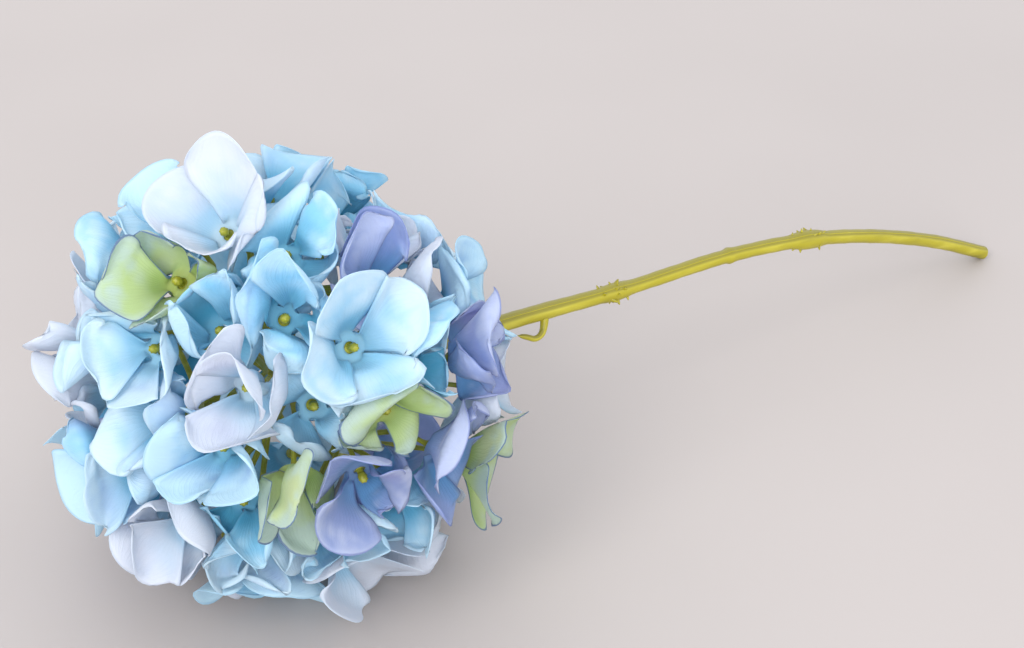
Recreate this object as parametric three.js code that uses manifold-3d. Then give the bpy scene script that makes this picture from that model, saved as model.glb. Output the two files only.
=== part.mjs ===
// A fabric hydrangea: a round head of four-petalled florets on a bare moulded stem, lying on a table.
// Millimetres, +Z up. The stem runs along +X from the head to its cut end, and the table is Z = 0.
// The origin is at the middle of the whole flower's footprint.
//
// The head is built from the inside out. One moulded spray of rays carries a pedicel, a collar, a pin
// and a bead for each floret. Each floret is one thin cut of fabric with a hole, threaded on its pin.
// Florets crowd one another: each keeps to its own cell between slanting planes that it shares with
// its neighbours, and its petals bend until they fit, as pressed fabric does.

import * as THREE from 'three';
import { mergeVertices } from 'three/addons/utils/BufferGeometryUtils.js';
import Module from 'manifold-3d';

const wasm = await Module();
wasm.setup();
const radians = THREE.MathUtils.degToRad;

// The head
const HEAD_CENTRE = new THREE.Vector3(-122, 0, 68);
const FOOTPRINT_SHIFT = new THREE.Vector3(0, 3.6, 0); // brings the footprint's middle to the origin
const CROWN_TILT = 4; // degrees by which the crown points above level
const HUB_DISTANCE = 60; // from the head's centre to a floret's hub
const BACK_SWELL = 0.04; // share of that distance added at the back of the head
const TOP_DROP = 0.12; // share of it taken off at the back of the head's top, which lies flatter
const FLORET_COUNT = 58;
const LAST_POLAR = 140; // no filling floret sits further from the crown than this, in degrees
const LOWEST_HUB = 10; // height of the hubs that the head rests on
const SWAY = 15; // degrees by which a floret's axis tips from straight out, by chance
const SEEN_SPACING = 21; // florets closer than this push one another aside
const FILLING_SPACING = 29; // the same for the florets that fill the rest of the head

// A floret
const PETAL_LENGTH = 26; // from the floret's axis to the petal's tip
const PETAL_HALF_WIDTH = 13.8;
const SHEET = 0.7; // thickness of the fabric with its stiffening
const HOLE_RADIUS = 2.0;
const HUB_RADIUS = 3.8; // from the axis to the middle of a petal's root
const NOTCH_RADIUS = 5.4; // where two neighbouring petals part
const ROWS = [0.3, 0.58, 0.82, 0.975]; // shares of the petal's length at its rows of points
const COLUMNS = [-1, -0.36, 0.36, 1]; // shares of the half width at a row's points
const WIDEST_AT = 0.64; // share of the petal's length where it is widest
const FULLNESS_AT_ROOT = 1; // the lower, the rounder the petal's outline between root and middle
const FULLNESS_AT_TIP = 0.6; // the same between middle and tip
const ROOT_SPREAD = 0.8; // a petal's half width near the hub, at most, over its distance from the axis
const PETALS = 4;

// How petals crowd
const SITE_HEIGHT = 8; // a floret's cell is drawn around a point this far above its hub
const REACH = 75; // florets further apart than this don't meet
const LAYERING = 3; // how strongly a raised floret's petals lie over a low one's
const SHUFFLE = 1.1; // how strongly one floret lies over another by chance
const NARROWEST = 14.5; // slanting planes leave each floret's middle half this much room
const STALK_ROOM = 3.4; // from a neighbour's stalk to the nearest fabric
const BEAD_ROOM = 3.2; // from a floret's own axis to its petals
const CLEARANCE = 0.64; // from the middle of the fabric to the plane shared with a neighbour
const PETAL_OVERLAP_TILT = 58; // degrees, slant of the plane between two petals of one floret
const PRESSES = 150; // rounds of bending
const LAST_PRESSES = 24; // rounds that only keep behind the planes
const LEAST_SPAN = 0.9; // share of their distance that two points of a petal keep, so it can't fold flat

// The moulded spray and stem
const PIN_RADIUS = 1.1;
const COLLAR_RADIUS = 2.4;
const BEAD_RADIUS = 2.3;
const BEAD_HEIGHT = 4.6;
const SEAT_GAP = 0.3; // between the fabric and the collar or the bead
const PEDICEL_RADIUS = 0.95;
const RAY_RADIUS = 1.7;
const RAY_LENGTH = 31;
const KNOT_RADIUS = 2.6;
const SOCKET_RADIUS = 5;
const SOCKET_LENGTH = 15;
const SOCKET_DEPTH = 9;
const STEM_SIDES = 10;
const STEM_STEPS = 26;
const STEM_RADIUS = 2.7;
const STEM_TOP_RADIUS = 3.1;
const FIT_GAP = 0.35; // between the stem's top and its socket

// Florets that give the head its look from the front and above.
// polar: degrees from the crown. turn: degrees round the crown's axis, from the top towards -Y.
// spin: turns the petals. lift: raises the hub. rise: how steeply the petals leave the hub, and curl
// how much steeper they are at their tips, in degrees. Where given, lean tips the floret
// [away from the crown, round it], rises, lengths and widths set its petals one by one, and slim
// narrows them all.
const SEEN_FLORETS = [
  { tint: 'white', polar: 72, turn: -1, spin: 40, lift: 4, rise: 40, curl: -10, lean: [-24, 16],
    rises: [34, 52, 40, 24], lengths: [0.9, 1, 1.22, 1.05], widths: [0.9, 1, 0.76, 0.95] },
  { tint: 'blue', polar: 81, turn: 16, spin: 20, lift: 2, rise: 46, curl: -22, lean: [-6, 12] },
  { tint: 'blue', polar: 70, turn: 38, spin: 50, lift: 4, rise: 54, curl: -20, lean: [4, 8] },
  { tint: 'pale', polar: 84, turn: 53, spin: 20, lift: 5, rise: 46, curl: -24, lean: [6, 10],
    rises: [66, 56, 64, 50], lengths: [0.95, 1.08, 1, 1.1] },
  { tint: 'green', polar: 90, turn: 68, spin: 40, lift: 3, rise: 30, curl: -26, lean: [4, 12], slim: 0.86 },
  { tint: 'blue', polar: 107, turn: 56, spin: 32, lift: 2, rise: 44, curl: -20, lean: [2, 0] },
  { tint: 'lavender', polar: 113, turn: 92, spin: 52, lift: 2, rise: 42, curl: -12 },
  { tint: 'pale', polar: 100, turn: 107, spin: 70, lift: -1, rise: 46, curl: -16 },
  { tint: 'green', polar: 128, turn: 107, spin: 25, lift: 6, rise: 28, curl: -10, lean: [4, -14] },
  { tint: 'lavender', polar: 126, turn: 63, spin: 40, lift: 3, rise: 40, curl: -12 },
  { tint: 'white', polar: 139, turn: 82, spin: 76, lift: 4, rise: 30, curl: -10, lean: [0, 0] },
  { tint: 'blue', polar: 139, turn: 44, spin: 10, lift: 2, rise: 30, curl: -8, lean: [0, 0],
    lengths: [0.95, 1, 1, 0.86] },
  { tint: 'white', polar: 118, turn: 40, spin: 55, lift: -2, rise: 42, curl: -16 },
  { tint: 'lavender', polar: 99, turn: 38, spin: 59, lift: 3, rise: 46, curl: -20, lean: [2, 4] },
  { tint: 'blue', polar: 112, turn: -5, spin: 70, lift: -6, rise: 38, curl: -20, lean: [-6, 8] },
  { tint: 'pale', polar: 95, turn: -19, spin: 25, lift: -1, rise: 44, curl: -14, lean: [-4, 6] },
  { tint: 'white', polar: 112, turn: 17, spin: 40, lift: -3, rise: 44, curl: -18,
    lengths: [1, 0.92, 0.9, 1] },
  { tint: 'green', polar: 66, turn: 80, spin: 42, lift: 4, rise: 68, curl: -14, lean: [4, 38],
    lengths: [1, 1.12, 1, 1.12], slim: 0.8 },
  { tint: 'white', polar: 56, turn: 52, spin: 50, lift: 5, rise: 58, curl: -14, lean: [-16, 14],
    lengths: [1, 1.1, 1.12, 1.12] },
  { tint: 'pale', polar: 71, turn: 66, spin: 20, lift: -4, rise: 54, curl: -24, lean: [2, 0] },
  { tint: 'blue', polar: 44, turn: 67, spin: 60, lift: 1, rise: 48, curl: -20, lean: [0, 4] },
  { tint: 'lavender', polar: 82, turn: 84, spin: 29, lift: 3, rise: 34, curl: -16, lean: [0, 24] },
  { tint: 'blue', polar: 51, turn: 31, spin: 15, lift: -3, rise: 54, curl: -24, lean: [0, 6] },
  { tint: 'pale', polar: 35, turn: 22, spin: 60, lift: 2, rise: 48, curl: -20 },
  { tint: 'green', polar: 51, turn: 4, spin: 62, lift: 3, rise: 40, curl: -14, lean: [-8, 12], slim: 0.9 },
  { tint: 'blue', polar: 62, turn: -25, spin: 64, lift: 0, rise: 50, curl: -8, lean: [-8, 0] },
  { tint: 'blue', polar: 48, turn: -38, spin: 12, lift: 0, rise: 46, curl: -18 },
  { tint: 'white', polar: 34, turn: -54, spin: 55, lift: 0, rise: 42, curl: -12 },
  { tint: 'pale', polar: 29, turn: -14, spin: 69, lift: 0, rise: 46, curl: -16 },
  { tint: 'white', polar: 19, turn: -80, spin: 22, lift: 1, rise: 42, curl: -14 },
  { tint: 'pale', polar: 30, turn: 50, spin: 74, lift: 1, rise: 50, curl: -24 },
  { tint: 'blue', polar: 12, turn: 215, spin: 66, lift: 2, rise: 44, curl: -20 },
  { tint: 'pale', polar: 18, turn: 118, spin: 54, lift: 2, rise: 44, curl: -18 },
  { tint: 'white', polar: 31, turn: 156, spin: 12, lift: 1, rise: 40, curl: -14 },
  { tint: 'white', polar: 38, turn: 117, spin: 54, lift: 2, rise: 58, curl: -24, lean: [-6, -8] },
  { tint: 'blue', polar: 50, turn: 97, spin: 30, lift: 0, rise: 50, curl: -22 },
  { tint: 'pale', polar: 56, turn: 125, spin: 56, lift: 1, rise: 56, curl: -24, lean: [0, -10] },
  { tint: 'blue', polar: 70, turn: 149, spin: 5, lift: 1, rise: 40, curl: -18, lean: [0, -14] },
  { tint: 'white', polar: 88, turn: 129, spin: 36, lift: 2, rise: 40, curl: -16, lean: [0, -14] },
  { tint: 'pale', polar: 78, turn: 106, spin: 64, lift: -1, rise: 56, curl: -20, lean: [0, -6] },
];
const FILLING_TINTS = ['blue', 'pale', 'white', 'blue', 'pale', 'lavender', 'blue', 'white', 'pale'];

const TINTS = {
  blue: 0x9fd2ea,
  pale: 0xc4e4f0,
  white: 0xf1f3f7,
  lavender: 0x9aa4d3,
  green: 0xb7c98a,
};

// Head directions: the crown points along -X, tipped up a little
const CROWN = new THREE.Vector3(-Math.cos(radians(CROWN_TILT)), 0, Math.sin(radians(CROWN_TILT)));
const HEAD_TOP = new THREE.Vector3(Math.sin(radians(CROWN_TILT)), 0, Math.cos(radians(CROWN_TILT)));
const HEAD_SIDE = new THREE.Vector3(0, -1, 0);

// Repeatable chance between 0 and 1
function chance(floret, petal, which) {
  const wave = Math.sin(floret * 12.9898 + petal * 78.233 + which * 37.719 + 4.1) * 43758.5453;
  return wave - Math.floor(wave);
}

const between = (low, high, share) => low + (high - low) * share;

// Direction from the head's centre
function outward(polar, turn) {
  const round = HEAD_TOP.clone().multiplyScalar(Math.cos(radians(turn)))
    .addScaledVector(HEAD_SIDE, Math.sin(radians(turn)));
  return CROWN.clone().multiplyScalar(Math.cos(radians(polar)))
    .addScaledVector(round, Math.sin(radians(polar)));
}

// Direction along the head's surface towards the crown
function crownward(polar, turn) {
  const round = HEAD_TOP.clone().multiplyScalar(Math.cos(radians(turn)))
    .addScaledVector(HEAD_SIDE, Math.sin(radians(turn)));
  return CROWN.clone().multiplyScalar(Math.sin(radians(polar)))
    .addScaledVector(round, -Math.cos(radians(polar)));
}

// Hub, axes and lift of one floret
function place(floret, index) {
  const back = THREE.MathUtils.smoothstep(floret.polar, 85, 150);
  const top = THREE.MathUtils.smoothstep(Math.cos(radians(floret.turn)), 0.6, 0.95);
  const distance = HUB_DISTANCE * (1 + (BACK_SWELL - TOP_DROP * top) * back) + floret.lift;
  const ray = outward(floret.polar, floret.turn);
  const hub = HEAD_CENTRE.clone().addScaledVector(ray, distance);
  hub.z = Math.max(hub.z, LOWEST_HUB);
  const lean = floret.lean ?? [31, 32].map((which) => between(-SWAY, SWAY, chance(index, 0, which)));
  const round = lean[1] / Math.max(0.5, Math.sin(radians(floret.polar)));
  const facing = [floret.polar + lean[0], floret.turn + round];
  const axis = outward(...facing);
  const toCrown = crownward(...facing);
  const across = axis.clone().cross(toCrown);
  return { ...floret, index, ray, hub, axis, toCrown, across };
}

// The opposite of outward: polar and turn of a direction
function anglesOf(ray) {
  const turn = Math.atan2(ray.dot(HEAD_SIDE), ray.dot(HEAD_TOP));
  return {
    polar: THREE.MathUtils.radToDeg(Math.acos(ray.dot(CROWN))),
    turn: THREE.MathUtils.radToDeg(turn),
  };
}

// Moves directions apart where florets would crowd, the looser ones more
function settle(rays, looseness, room) {
  const away = new THREE.Vector3();
  const rounds = 60;
  for (let round = 0; round < rounds; round++) {
    for (let i = 0; i < rays.length; i++) {
      for (let j = 0; j < i; j++) {
        away.subVectors(rays[i], rays[j]);
        const apart = away.length() * HUB_DISTANCE;
        const wanted = (room[i] + room[j]) / 2;
        if (apart >= wanted) continue;
        const push = (0.25 * (wanted - apart)) / HUB_DISTANCE / (looseness[i] + looseness[j]);
        away.normalize().multiplyScalar(push);
        rays[i].addScaledVector(away, looseness[i]).normalize();
        rays[j].addScaledVector(away, -looseness[j]).normalize();
      }
    }
  }
}

// The florets seen from the front, then others that fill the widest gaps that are left
function allFlorets() {
  const chosen = [...SEEN_FLORETS];
  const rays = chosen.map((f) => outward(f.polar, f.turn));
  const tries = 700;
  const goldenTurn = 180 * (3 - Math.sqrt(5));
  const lowest = Math.cos(radians(LAST_POLAR));
  while (chosen.length < FLORET_COUNT) {
    let best = null;
    for (let i = 0; i < tries; i++) {
      const polar = THREE.MathUtils.radToDeg(Math.acos(between(1, lowest, (i + 0.5) / tries)));
      const turn = (i * goldenTurn) % 360;
      const ray = outward(polar, turn);
      const nearest = Math.max(...rays.map((r) => r.dot(ray)));
      if (!best || nearest < best.nearest) best = { nearest, polar, turn, ray };
    }
    const n = chosen.length;
    rays.push(best.ray);
    chosen.push({
      tint: FILLING_TINTS[n % FILLING_TINTS.length],
      polar: best.polar,
      turn: best.turn,
      spin: between(0, 90, chance(n, 0, 11)),
      lift: between(-4, 2, chance(n, 0, 12)),
      rise: between(30, 48, chance(n, 0, 13)),
      curl: between(-26, -10, chance(n, 0, 14)),
    });
  }
  const isSeen = (i) => i < SEEN_FLORETS.length;
  settle(
    rays,
    chosen.map((_, i) => (isSeen(i) ? 0.1 : 1)),
    chosen.map((_, i) => (isSeen(i) ? SEEN_SPACING : FILLING_SPACING)),
  );
  return chosen.map((floret, i) => place({ ...floret, ...anglesOf(rays[i]) }, i));
}

// One petal's own size and bend
function petalOf(floret, k) {
  const draw = (which, low, high) => between(low, high, chance(floret.index, k, which));
  return {
    turn: radians(floret.spin + (360 / PETALS) * k + draw(1, -5, 5)),
    length: PETAL_LENGTH * (floret.lengths?.[k] ?? draw(2, 0.93, 1.07)),
    halfWidth: PETAL_HALF_WIDTH * (floret.slim ?? 1) * (floret.widths?.[k] ?? draw(3, 0.9, 1.08)),
    rise: radians(floret.rises?.[k] ?? floret.rise + draw(4, -20, 20)),
    curl: radians(floret.curl + draw(5, -24, 24)),
    cup: draw(6, 0.5, 4.5),
    wave: draw(7, 0.4, 1.8),
    phase: draw(8, 0, 2 * Math.PI),
  };
}

// A point of a petal before it is pressed, in the floret's own frame:
// along is 0 at the hub and 1 at the tip, side runs from -1 to 1.
function petalPoint(petal, along, side) {
  const run = petal.length - HUB_RADIUS;
  const curl = Math.abs(petal.curl) < 0.01 ? 0.01 : petal.curl;
  const steep = petal.rise + curl * along;
  const out = HUB_RADIUS + (run * (Math.sin(steep) - Math.sin(petal.rise))) / curl;
  const up = (run * (Math.cos(petal.rise) - Math.cos(steep))) / curl;
  const fullness = along < WIDEST_AT ? FULLNESS_AT_ROOT : FULLNESS_AT_TIP;
  const swell = Math.sin(Math.PI * along ** (Math.log(0.5) / Math.log(WIDEST_AT))) ** fullness;
  const room = out * between(ROOT_SPREAD, 2, THREE.MathUtils.smoothstep(along, 0.3, 0.6));
  const width = Math.min(room, HUB_RADIUS * 0.7 * (1 - along) + petal.halfWidth * swell);
  const lift = petal.cup * side * side * swell
    + petal.wave * side * along * Math.sin(petal.phase + 5 * along);
  return new THREE.Vector3(out - Math.sin(steep) * lift, width * side, up + Math.cos(steep) * lift);
}

// Points, triangles and rim of a whole floret's middle surface
function floretSheet(floret) {
  const toHead = new THREE.Matrix4().makeBasis(floret.toCrown, floret.across, floret.axis)
    .setPosition(floret.hub);
  const points = [];
  const rim = [];
  const owner = [];
  const add = (local, petal, onRim) => {
    points.push(local.applyMatrix4(toHead));
    rim.push(onRim);
    owner.push(petal);
    return points.length - 1;
  };
  const onCircle = (radius, angle) =>
    new THREE.Vector3(radius * Math.cos(angle), radius * Math.sin(angle), 0);
  const petals = Array.from({ length: PETALS }, (_, k) => petalOf(floret, k));
  const spin = radians(floret.spin);
  const quarter = (2 * Math.PI) / PETALS;
  const hole = petals.map((_, k) => add(onCircle(HOLE_RADIUS, spin + (k + 0.5) * quarter), -1, true));
  const hub = petals.map((_, k) => add(onCircle(HUB_RADIUS, spin + k * quarter), -1, false));
  const notch = petals.map((_, k) => add(onCircle(NOTCH_RADIUS, spin + (k + 0.5) * quarter), -1, true));
  const triangles = [];
  const zUp = new THREE.Vector3(0, 0, 1);

  // Triangles between two rows that run the same way round, the first nearer to the hub
  const zip = (inner, outer) => {
    let i = 0;
    let j = 0;
    while (i < inner.length - 1 || j < outer.length - 1) {
      const innerNext = (i + 0.5) / (inner.length - 1);
      const outerNext = (j + 0.5) / (outer.length - 1);
      if (i < inner.length - 1 && innerNext <= outerNext) {
        triangles.push([inner[i], outer[j], inner[++i]]);
      } else {
        triangles.push([inner[i], outer[j], outer[++j]]);
      }
    }
  };

  petals.forEach((petal, k) => {
    const before = (k + PETALS - 1) % PETALS;
    const after = (k + 1) % PETALS;
    triangles.push([hole[k], hub[k], hub[after]]);
    triangles.push([hole[k], hub[after], hole[after]]);
    triangles.push([hub[k], notch[k], hub[after]]);
    const rows = ROWS.map((along, r) => {
      const sides = r === ROWS.length - 1 ? [-1, 1] : COLUMNS;
      return sides.map((side) => {
        const local = petalPoint(petal, along, side).applyAxisAngle(zUp, petal.turn);
        return add(local, k, Math.abs(side) === 1 || r === ROWS.length - 1);
      });
    });
    zip([notch[before], hub[k], notch[k]], rows[0]);
    rows.slice(1).forEach((row, r) => zip(rows[r], row));
  });
  return { points, rim, owner, triangles, petals };
}

// Planes that a floret's petals keep behind: { normal, offset, petal } with petal -1 for all of them
function wallsOf(floret, florets) {
  const walls = [{ normal: new THREE.Vector3(0, 0, -1), offset: -SHEET / 2 - 0.02, petal: -1 }];
  const site = (f) => f.hub.clone().addScaledVector(f.axis, SITE_HEIGHT);
  for (const other of florets) {
    const apart = other.hub.distanceTo(floret.hub);
    if (other === floret || apart > REACH) continue;
    const towards = site(other).sub(site(floret));
    const middle = site(other).add(site(floret)).multiplyScalar(0.5);
    const up = floret.ray.clone().add(other.ray).normalize();
    const low = Math.min(floret.index, other.index);
    const high = Math.max(floret.index, other.index);
    const shuffled = between(-SHUFFLE, SHUFFLE, chance(low, high, 21)) * (low === floret.index ? 1 : -1);
    const steepest = Math.sqrt(Math.max(0, (apart / NARROWEST) ** 2 - 1));
    const wanted = (LAYERING * (other.lift - floret.lift)) / apart + shuffled;
    const slant = THREE.MathUtils.clamp(wanted, -steepest, steepest);
    const normal = towards.divideScalar(towards.length()).addScaledVector(up, slant).normalize();
    walls.push({ normal, offset: normal.dot(middle) - CLEARANCE, petal: -1 });
    const aside = other.hub.clone().sub(floret.hub);
    aside.addScaledVector(other.axis, -aside.dot(other.axis)).normalize();
    walls.push({ normal: aside, offset: aside.dot(other.hub) - STALK_ROOM, petal: -1 });
  }
  return walls;
}

// Planes that keep each petal off its own bead and apart from the next petal of the floret.
// At each gap either petal may lie on top.
function partingsOf(floret) {
  const walls = [];
  const tilt = radians(PETAL_OVERLAP_TILT);
  const slope = radians(floret.rise + floret.curl * 0.4);
  for (let k = 0; k < PETALS; k++) {
    const angle = radians(floret.spin + (360 / PETALS) * (k + 0.5));
    const onTop = chance(floret.index, k, 20) < 0.5 ? -1 : 1;
    const radial = floret.toCrown.clone().multiplyScalar(Math.cos(angle))
      .addScaledVector(floret.across, Math.sin(angle));
    const sideways = floret.axis.clone().cross(radial);
    const over = floret.axis.clone().multiplyScalar(Math.cos(slope))
      .addScaledVector(radial, -Math.sin(slope));
    const normal = sideways.multiplyScalar(Math.cos(tilt))
      .addScaledVector(over, onTop * Math.sin(tilt));
    const level = normal.dot(floret.hub);
    const ownSide = radians(floret.spin + (360 / PETALS) * k);
    const inwards = floret.toCrown.clone().multiplyScalar(-Math.cos(ownSide))
      .addScaledVector(floret.across, -Math.sin(ownSide));
    walls.push({ normal: inwards, offset: inwards.dot(floret.hub) - BEAD_ROOM, petal: k });
    walls.push({ normal, offset: level - CLEARANCE, petal: k });
    walls.push({
      normal: normal.clone().negate(),
      offset: -level - CLEARANCE,
      petal: (k + 1) % PETALS,
    });
  }
  return walls;
}

// Distances that the fabric keeps, with how firmly it keeps them. A strut is only a least distance.
function threads(sheet) {
  const found = new Map();
  const add = (a, b, firmness) => {
    const key = a < b ? `${a},${b}` : `${b},${a}`;
    if (found.has(key)) return;
    found.set(key, { a, b, firmness, rest: sheet.points[a].distanceTo(sheet.points[b]) });
  };
  const opposite = new Map();
  for (const [a, b, c] of sheet.triangles) {
    for (const [p, q, r] of [[a, b, c], [b, c, a], [c, a, b]]) {
      add(p, q, 1);
      const key = p < q ? `${p},${q}` : `${q},${p}`;
      opposite.set(key, [...(opposite.get(key) ?? []), r]);
    }
  }
  for (const ends of opposite.values()) {
    if (ends.length === 2) add(ends[0], ends[1], 0.35);
  }
  const struts = [];
  sheet.points.forEach((point, a) => {
    for (let b = 0; b < a; b++) {
      if (sheet.owner[a] < 0 || sheet.owner[a] !== sheet.owner[b] || found.has(`${b},${a}`)) continue;
      const rest = point.distanceTo(sheet.points[b]) * LEAST_SPAN;
      struts.push({ a, b, firmness: 0.5, rest, strut: true });
    }
  });
  return [...found.values(), ...struts];
}

// Bends the petals until they keep behind their walls and hold their lengths
function press(sheet, walls) {
  const { points, owner } = sheet;
  const links = threads(sheet);
  const moves = owner.map((petal) => (petal < 0 ? 0 : 1));
  const keepBehindWalls = () => {
    points.forEach((point, i) => {
      if (!moves[i]) return;
      for (const wall of walls) {
        if (wall.petal >= 0 && wall.petal !== owner[i]) continue;
        const beyond = wall.normal.dot(point) - wall.offset;
        if (beyond > 0) point.addScaledVector(wall.normal, -beyond);
      }
    });
  };
  const pull = new THREE.Vector3();
  for (let round = 0; round < PRESSES; round++) {
    for (const { a, b, rest, firmness, strut } of links) {
      const weight = moves[a] + moves[b];
      if (!weight) continue;
      pull.subVectors(points[b], points[a]);
      const length = pull.length();
      if (strut && length > rest) continue;
      pull.multiplyScalar((firmness * (length - rest)) / (length * weight));
      points[a].addScaledVector(pull, moves[a]);
      points[b].addScaledVector(pull, -moves[b]);
    }
    keepBehindWalls();
  }
  for (let round = 0; round < LAST_PRESSES; round++) keepBehindWalls();
  return sheet;
}

// A direction that faces each of the triangles round a point as squarely as it can
function fairNormal(faces) {
  const normal = new THREE.Vector3();
  faces.forEach((face) => normal.add(face));
  normal.normalize();
  for (let step = 0; step < 40; step++) {
    const worst = faces.reduce((low, face) => (face.dot(normal) < low.dot(normal) ? face : low));
    normal.addScaledVector(worst, 0.15 * (1 - step / 40)).normalize();
  }
  return normal;
}

// A closed thin body: full thickness inside, and both faces meeting at the rim
function thicken({ points, rim, triangles }) {
  const around = points.map(() => []);
  for (const corners of triangles) {
    const [a, b, c] = corners.map((i) => points[i]);
    const face = b.clone().sub(a).cross(c.clone().sub(a)).normalize();
    corners.forEach((i) => around[i].push(face));
  }
  const normals = around.map(fairNormal);
  const positions = [];
  const top = [];
  const bottom = [];
  points.forEach((point, i) => {
    const half = rim[i] ? 0 : SHEET / 2;
    top[i] = positions.length / 3;
    positions.push(...point.clone().addScaledVector(normals[i], half).toArray());
    bottom[i] = rim[i] ? top[i] : positions.length / 3;
    if (!rim[i]) positions.push(...point.clone().addScaledVector(normals[i], -half).toArray());
  });
  const index = [];
  for (const [a, b, c] of triangles) {
    index.push(top[a], top[b], top[c]);
    index.push(bottom[a], bottom[c], bottom[b]);
  }
  const geometry = new THREE.BufferGeometry();
  geometry.setAttribute('position', new THREE.Float32BufferAttribute(positions, 3));
  geometry.setIndex(index);
  return geometry;
}

// A closed tube through stations { at, along, radius }, its first corner turned towards start
function taperedTube(stations, sides, start) {
  const positions = [];
  const index = [];
  let first = start.clone();
  stations.forEach(({ at, along, radius }, s) => {
    first = first.addScaledVector(along, -first.dot(along)).normalize();
    const second = along.clone().cross(first);
    for (let i = 0; i < sides; i++) {
      const angle = (2 * Math.PI * i) / sides;
      const corner = at.clone().addScaledVector(first, radius * Math.cos(angle))
        .addScaledVector(second, radius * Math.sin(angle));
      positions.push(...corner.toArray());
      if (s === 0) continue;
      const here = s * sides + i;
      const next = s * sides + ((i + 1) % sides);
      index.push(here - sides, next - sides, next, here - sides, next, here);
    }
  });
  const last = (stations.length - 1) * sides;
  for (let i = 1; i < sides - 1; i++) {
    index.push(0, i + 1, i);
    index.push(last, last + i, last + i + 1);
  }
  const geometry = new THREE.BufferGeometry();
  geometry.setAttribute('position', new THREE.Float32BufferAttribute(positions, 3));
  geometry.setIndex(index);
  return geometry;
}

function solid(geometry) {
  const bare = new THREE.BufferGeometry();
  bare.setAttribute('position', geometry.getAttribute('position').clone());
  if (geometry.index) bare.setIndex(geometry.index.clone());
  const merged = mergeVertices(bare, 1e-4);
  return new wasm.Manifold(new wasm.Mesh({
    numProp: 3,
    vertProperties: new Float32Array(merged.getAttribute('position').array),
    triVerts: new Uint32Array(merged.index.array),
  }));
}

function geometryOf(manifold) {
  const mesh = manifold.getMesh();
  const geometry = new THREE.BufferGeometry();
  geometry.setAttribute('position', new THREE.BufferAttribute(new Float32Array(mesh.vertProperties), 3));
  geometry.setIndex(new THREE.BufferAttribute(new Uint32Array(mesh.triVerts), 1));
  return geometry;
}

// Joined two at a time, so that no solid is cut against one many times its size
function joinAll(solids) {
  let left = solids;
  while (left.length > 1) {
    const joined = [];
    for (let i = 0; i < left.length; i += 2) {
      joined.push(i + 1 < left.length ? left[i].add(left[i + 1]) : left[i]);
    }
    left = joined;
  }
  return left[0];
}

// A turned or boxed shape moved so that its own +Y points along a direction
function standing(geometry, at, along) {
  const turn = new THREE.Quaternion().setFromUnitVectors(new THREE.Vector3(0, 1, 0), along);
  return geometry.applyQuaternion(turn).translate(at.x, at.y, at.z);
}

// The stem's middle line, from inside the socket to the cut end on the table
const STEM_LINE = new THREE.CatmullRomCurve3([
  new THREE.Vector3(-116, 0, 62.4),
  new THREE.Vector3(-70, 0, 58.6),
  new THREE.Vector3(-24, 0.4, 55),
  new THREE.Vector3(18, -0.5, 51.6),
  new THREE.Vector3(70, 0.4, 48),
  new THREE.Vector3(108, -0.4, 42),
  new THREE.Vector3(140, 0, 31.8),
  new THREE.Vector3(173, 0.3, 17.4),
  new THREE.Vector3(200.5, 0, 2.3),
]);

const onStem = (share) => ({
  at: STEM_LINE.getPointAt(share),
  along: STEM_LINE.getTangentAt(share),
});
const sideOf = (along) => new THREE.Vector3(0, 1, 0).addScaledVector(along, -along.y).normalize();

// The share of the stem's length at which it passes a given X
function shareAtX(x) {
  let low = 0;
  let high = 1;
  for (let i = 0; i < 30; i++) {
    const middle = (low + high) / 2;
    if (STEM_LINE.getPointAt(middle).x < x) low = middle;
    else high = middle;
  }
  return low;
}

// A swelling on the stem, with nubs round it
function stemNode(x, { bulge, halfLength, nubs, nubLength, firstNub }) {
  const { at, along } = onStem(shareAtX(x));
  const profile = [
    [0, -halfLength], [STEM_RADIUS - 0.2, -halfLength], [STEM_RADIUS + bulge, -halfLength * 0.25],
    [STEM_RADIUS + bulge * 0.8, halfLength * 0.3], [STEM_RADIUS - 0.2, halfLength], [0, halfLength],
  ].map(([r, h]) => new THREE.Vector2(r, h));
  const pieces = [solid(standing(new THREE.LatheGeometry(profile, STEM_SIDES), at, along))];
  const side = sideOf(along);
  for (let i = 0; i < nubs; i++) {
    const out = side.clone().applyAxisAngle(along, radians(firstNub + (360 / nubs) * i));
    const lean = out.clone().addScaledVector(along, i % 2 ? 0.7 : -0.6).normalize();
    const root = at.clone().addScaledVector(along, (i % 3 - 1) * halfLength * 0.45)
      .addScaledVector(out, STEM_RADIUS - 0.8);
    const length = nubLength * (i % 2 ? 1 : 0.75);
    const cone = new THREE.ConeGeometry(1.1, length + 1, 5).translate(0, (length + 1) / 2, 0);
    pieces.push(solid(standing(cone, root, lean)));
  }
  return pieces;
}

// A hooked stub where a leaf stalk sits: it leaves the stem and curls back along it
function hookedStub(x, out, points, radii) {
  const { at, along } = onStem(shareAtX(x));
  const line = new THREE.CatmullRomCurve3(points.map(([away, forward]) =>
    at.clone().addScaledVector(out, away).addScaledVector(along, forward)));
  const stations = radii.map((radius, i) => {
    const share = i / (radii.length - 1);
    return { at: line.getPointAt(share), along: line.getTangentAt(share), radius };
  });
  return solid(taperedTube(stations, 6, along.clone().cross(out)));
}

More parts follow.
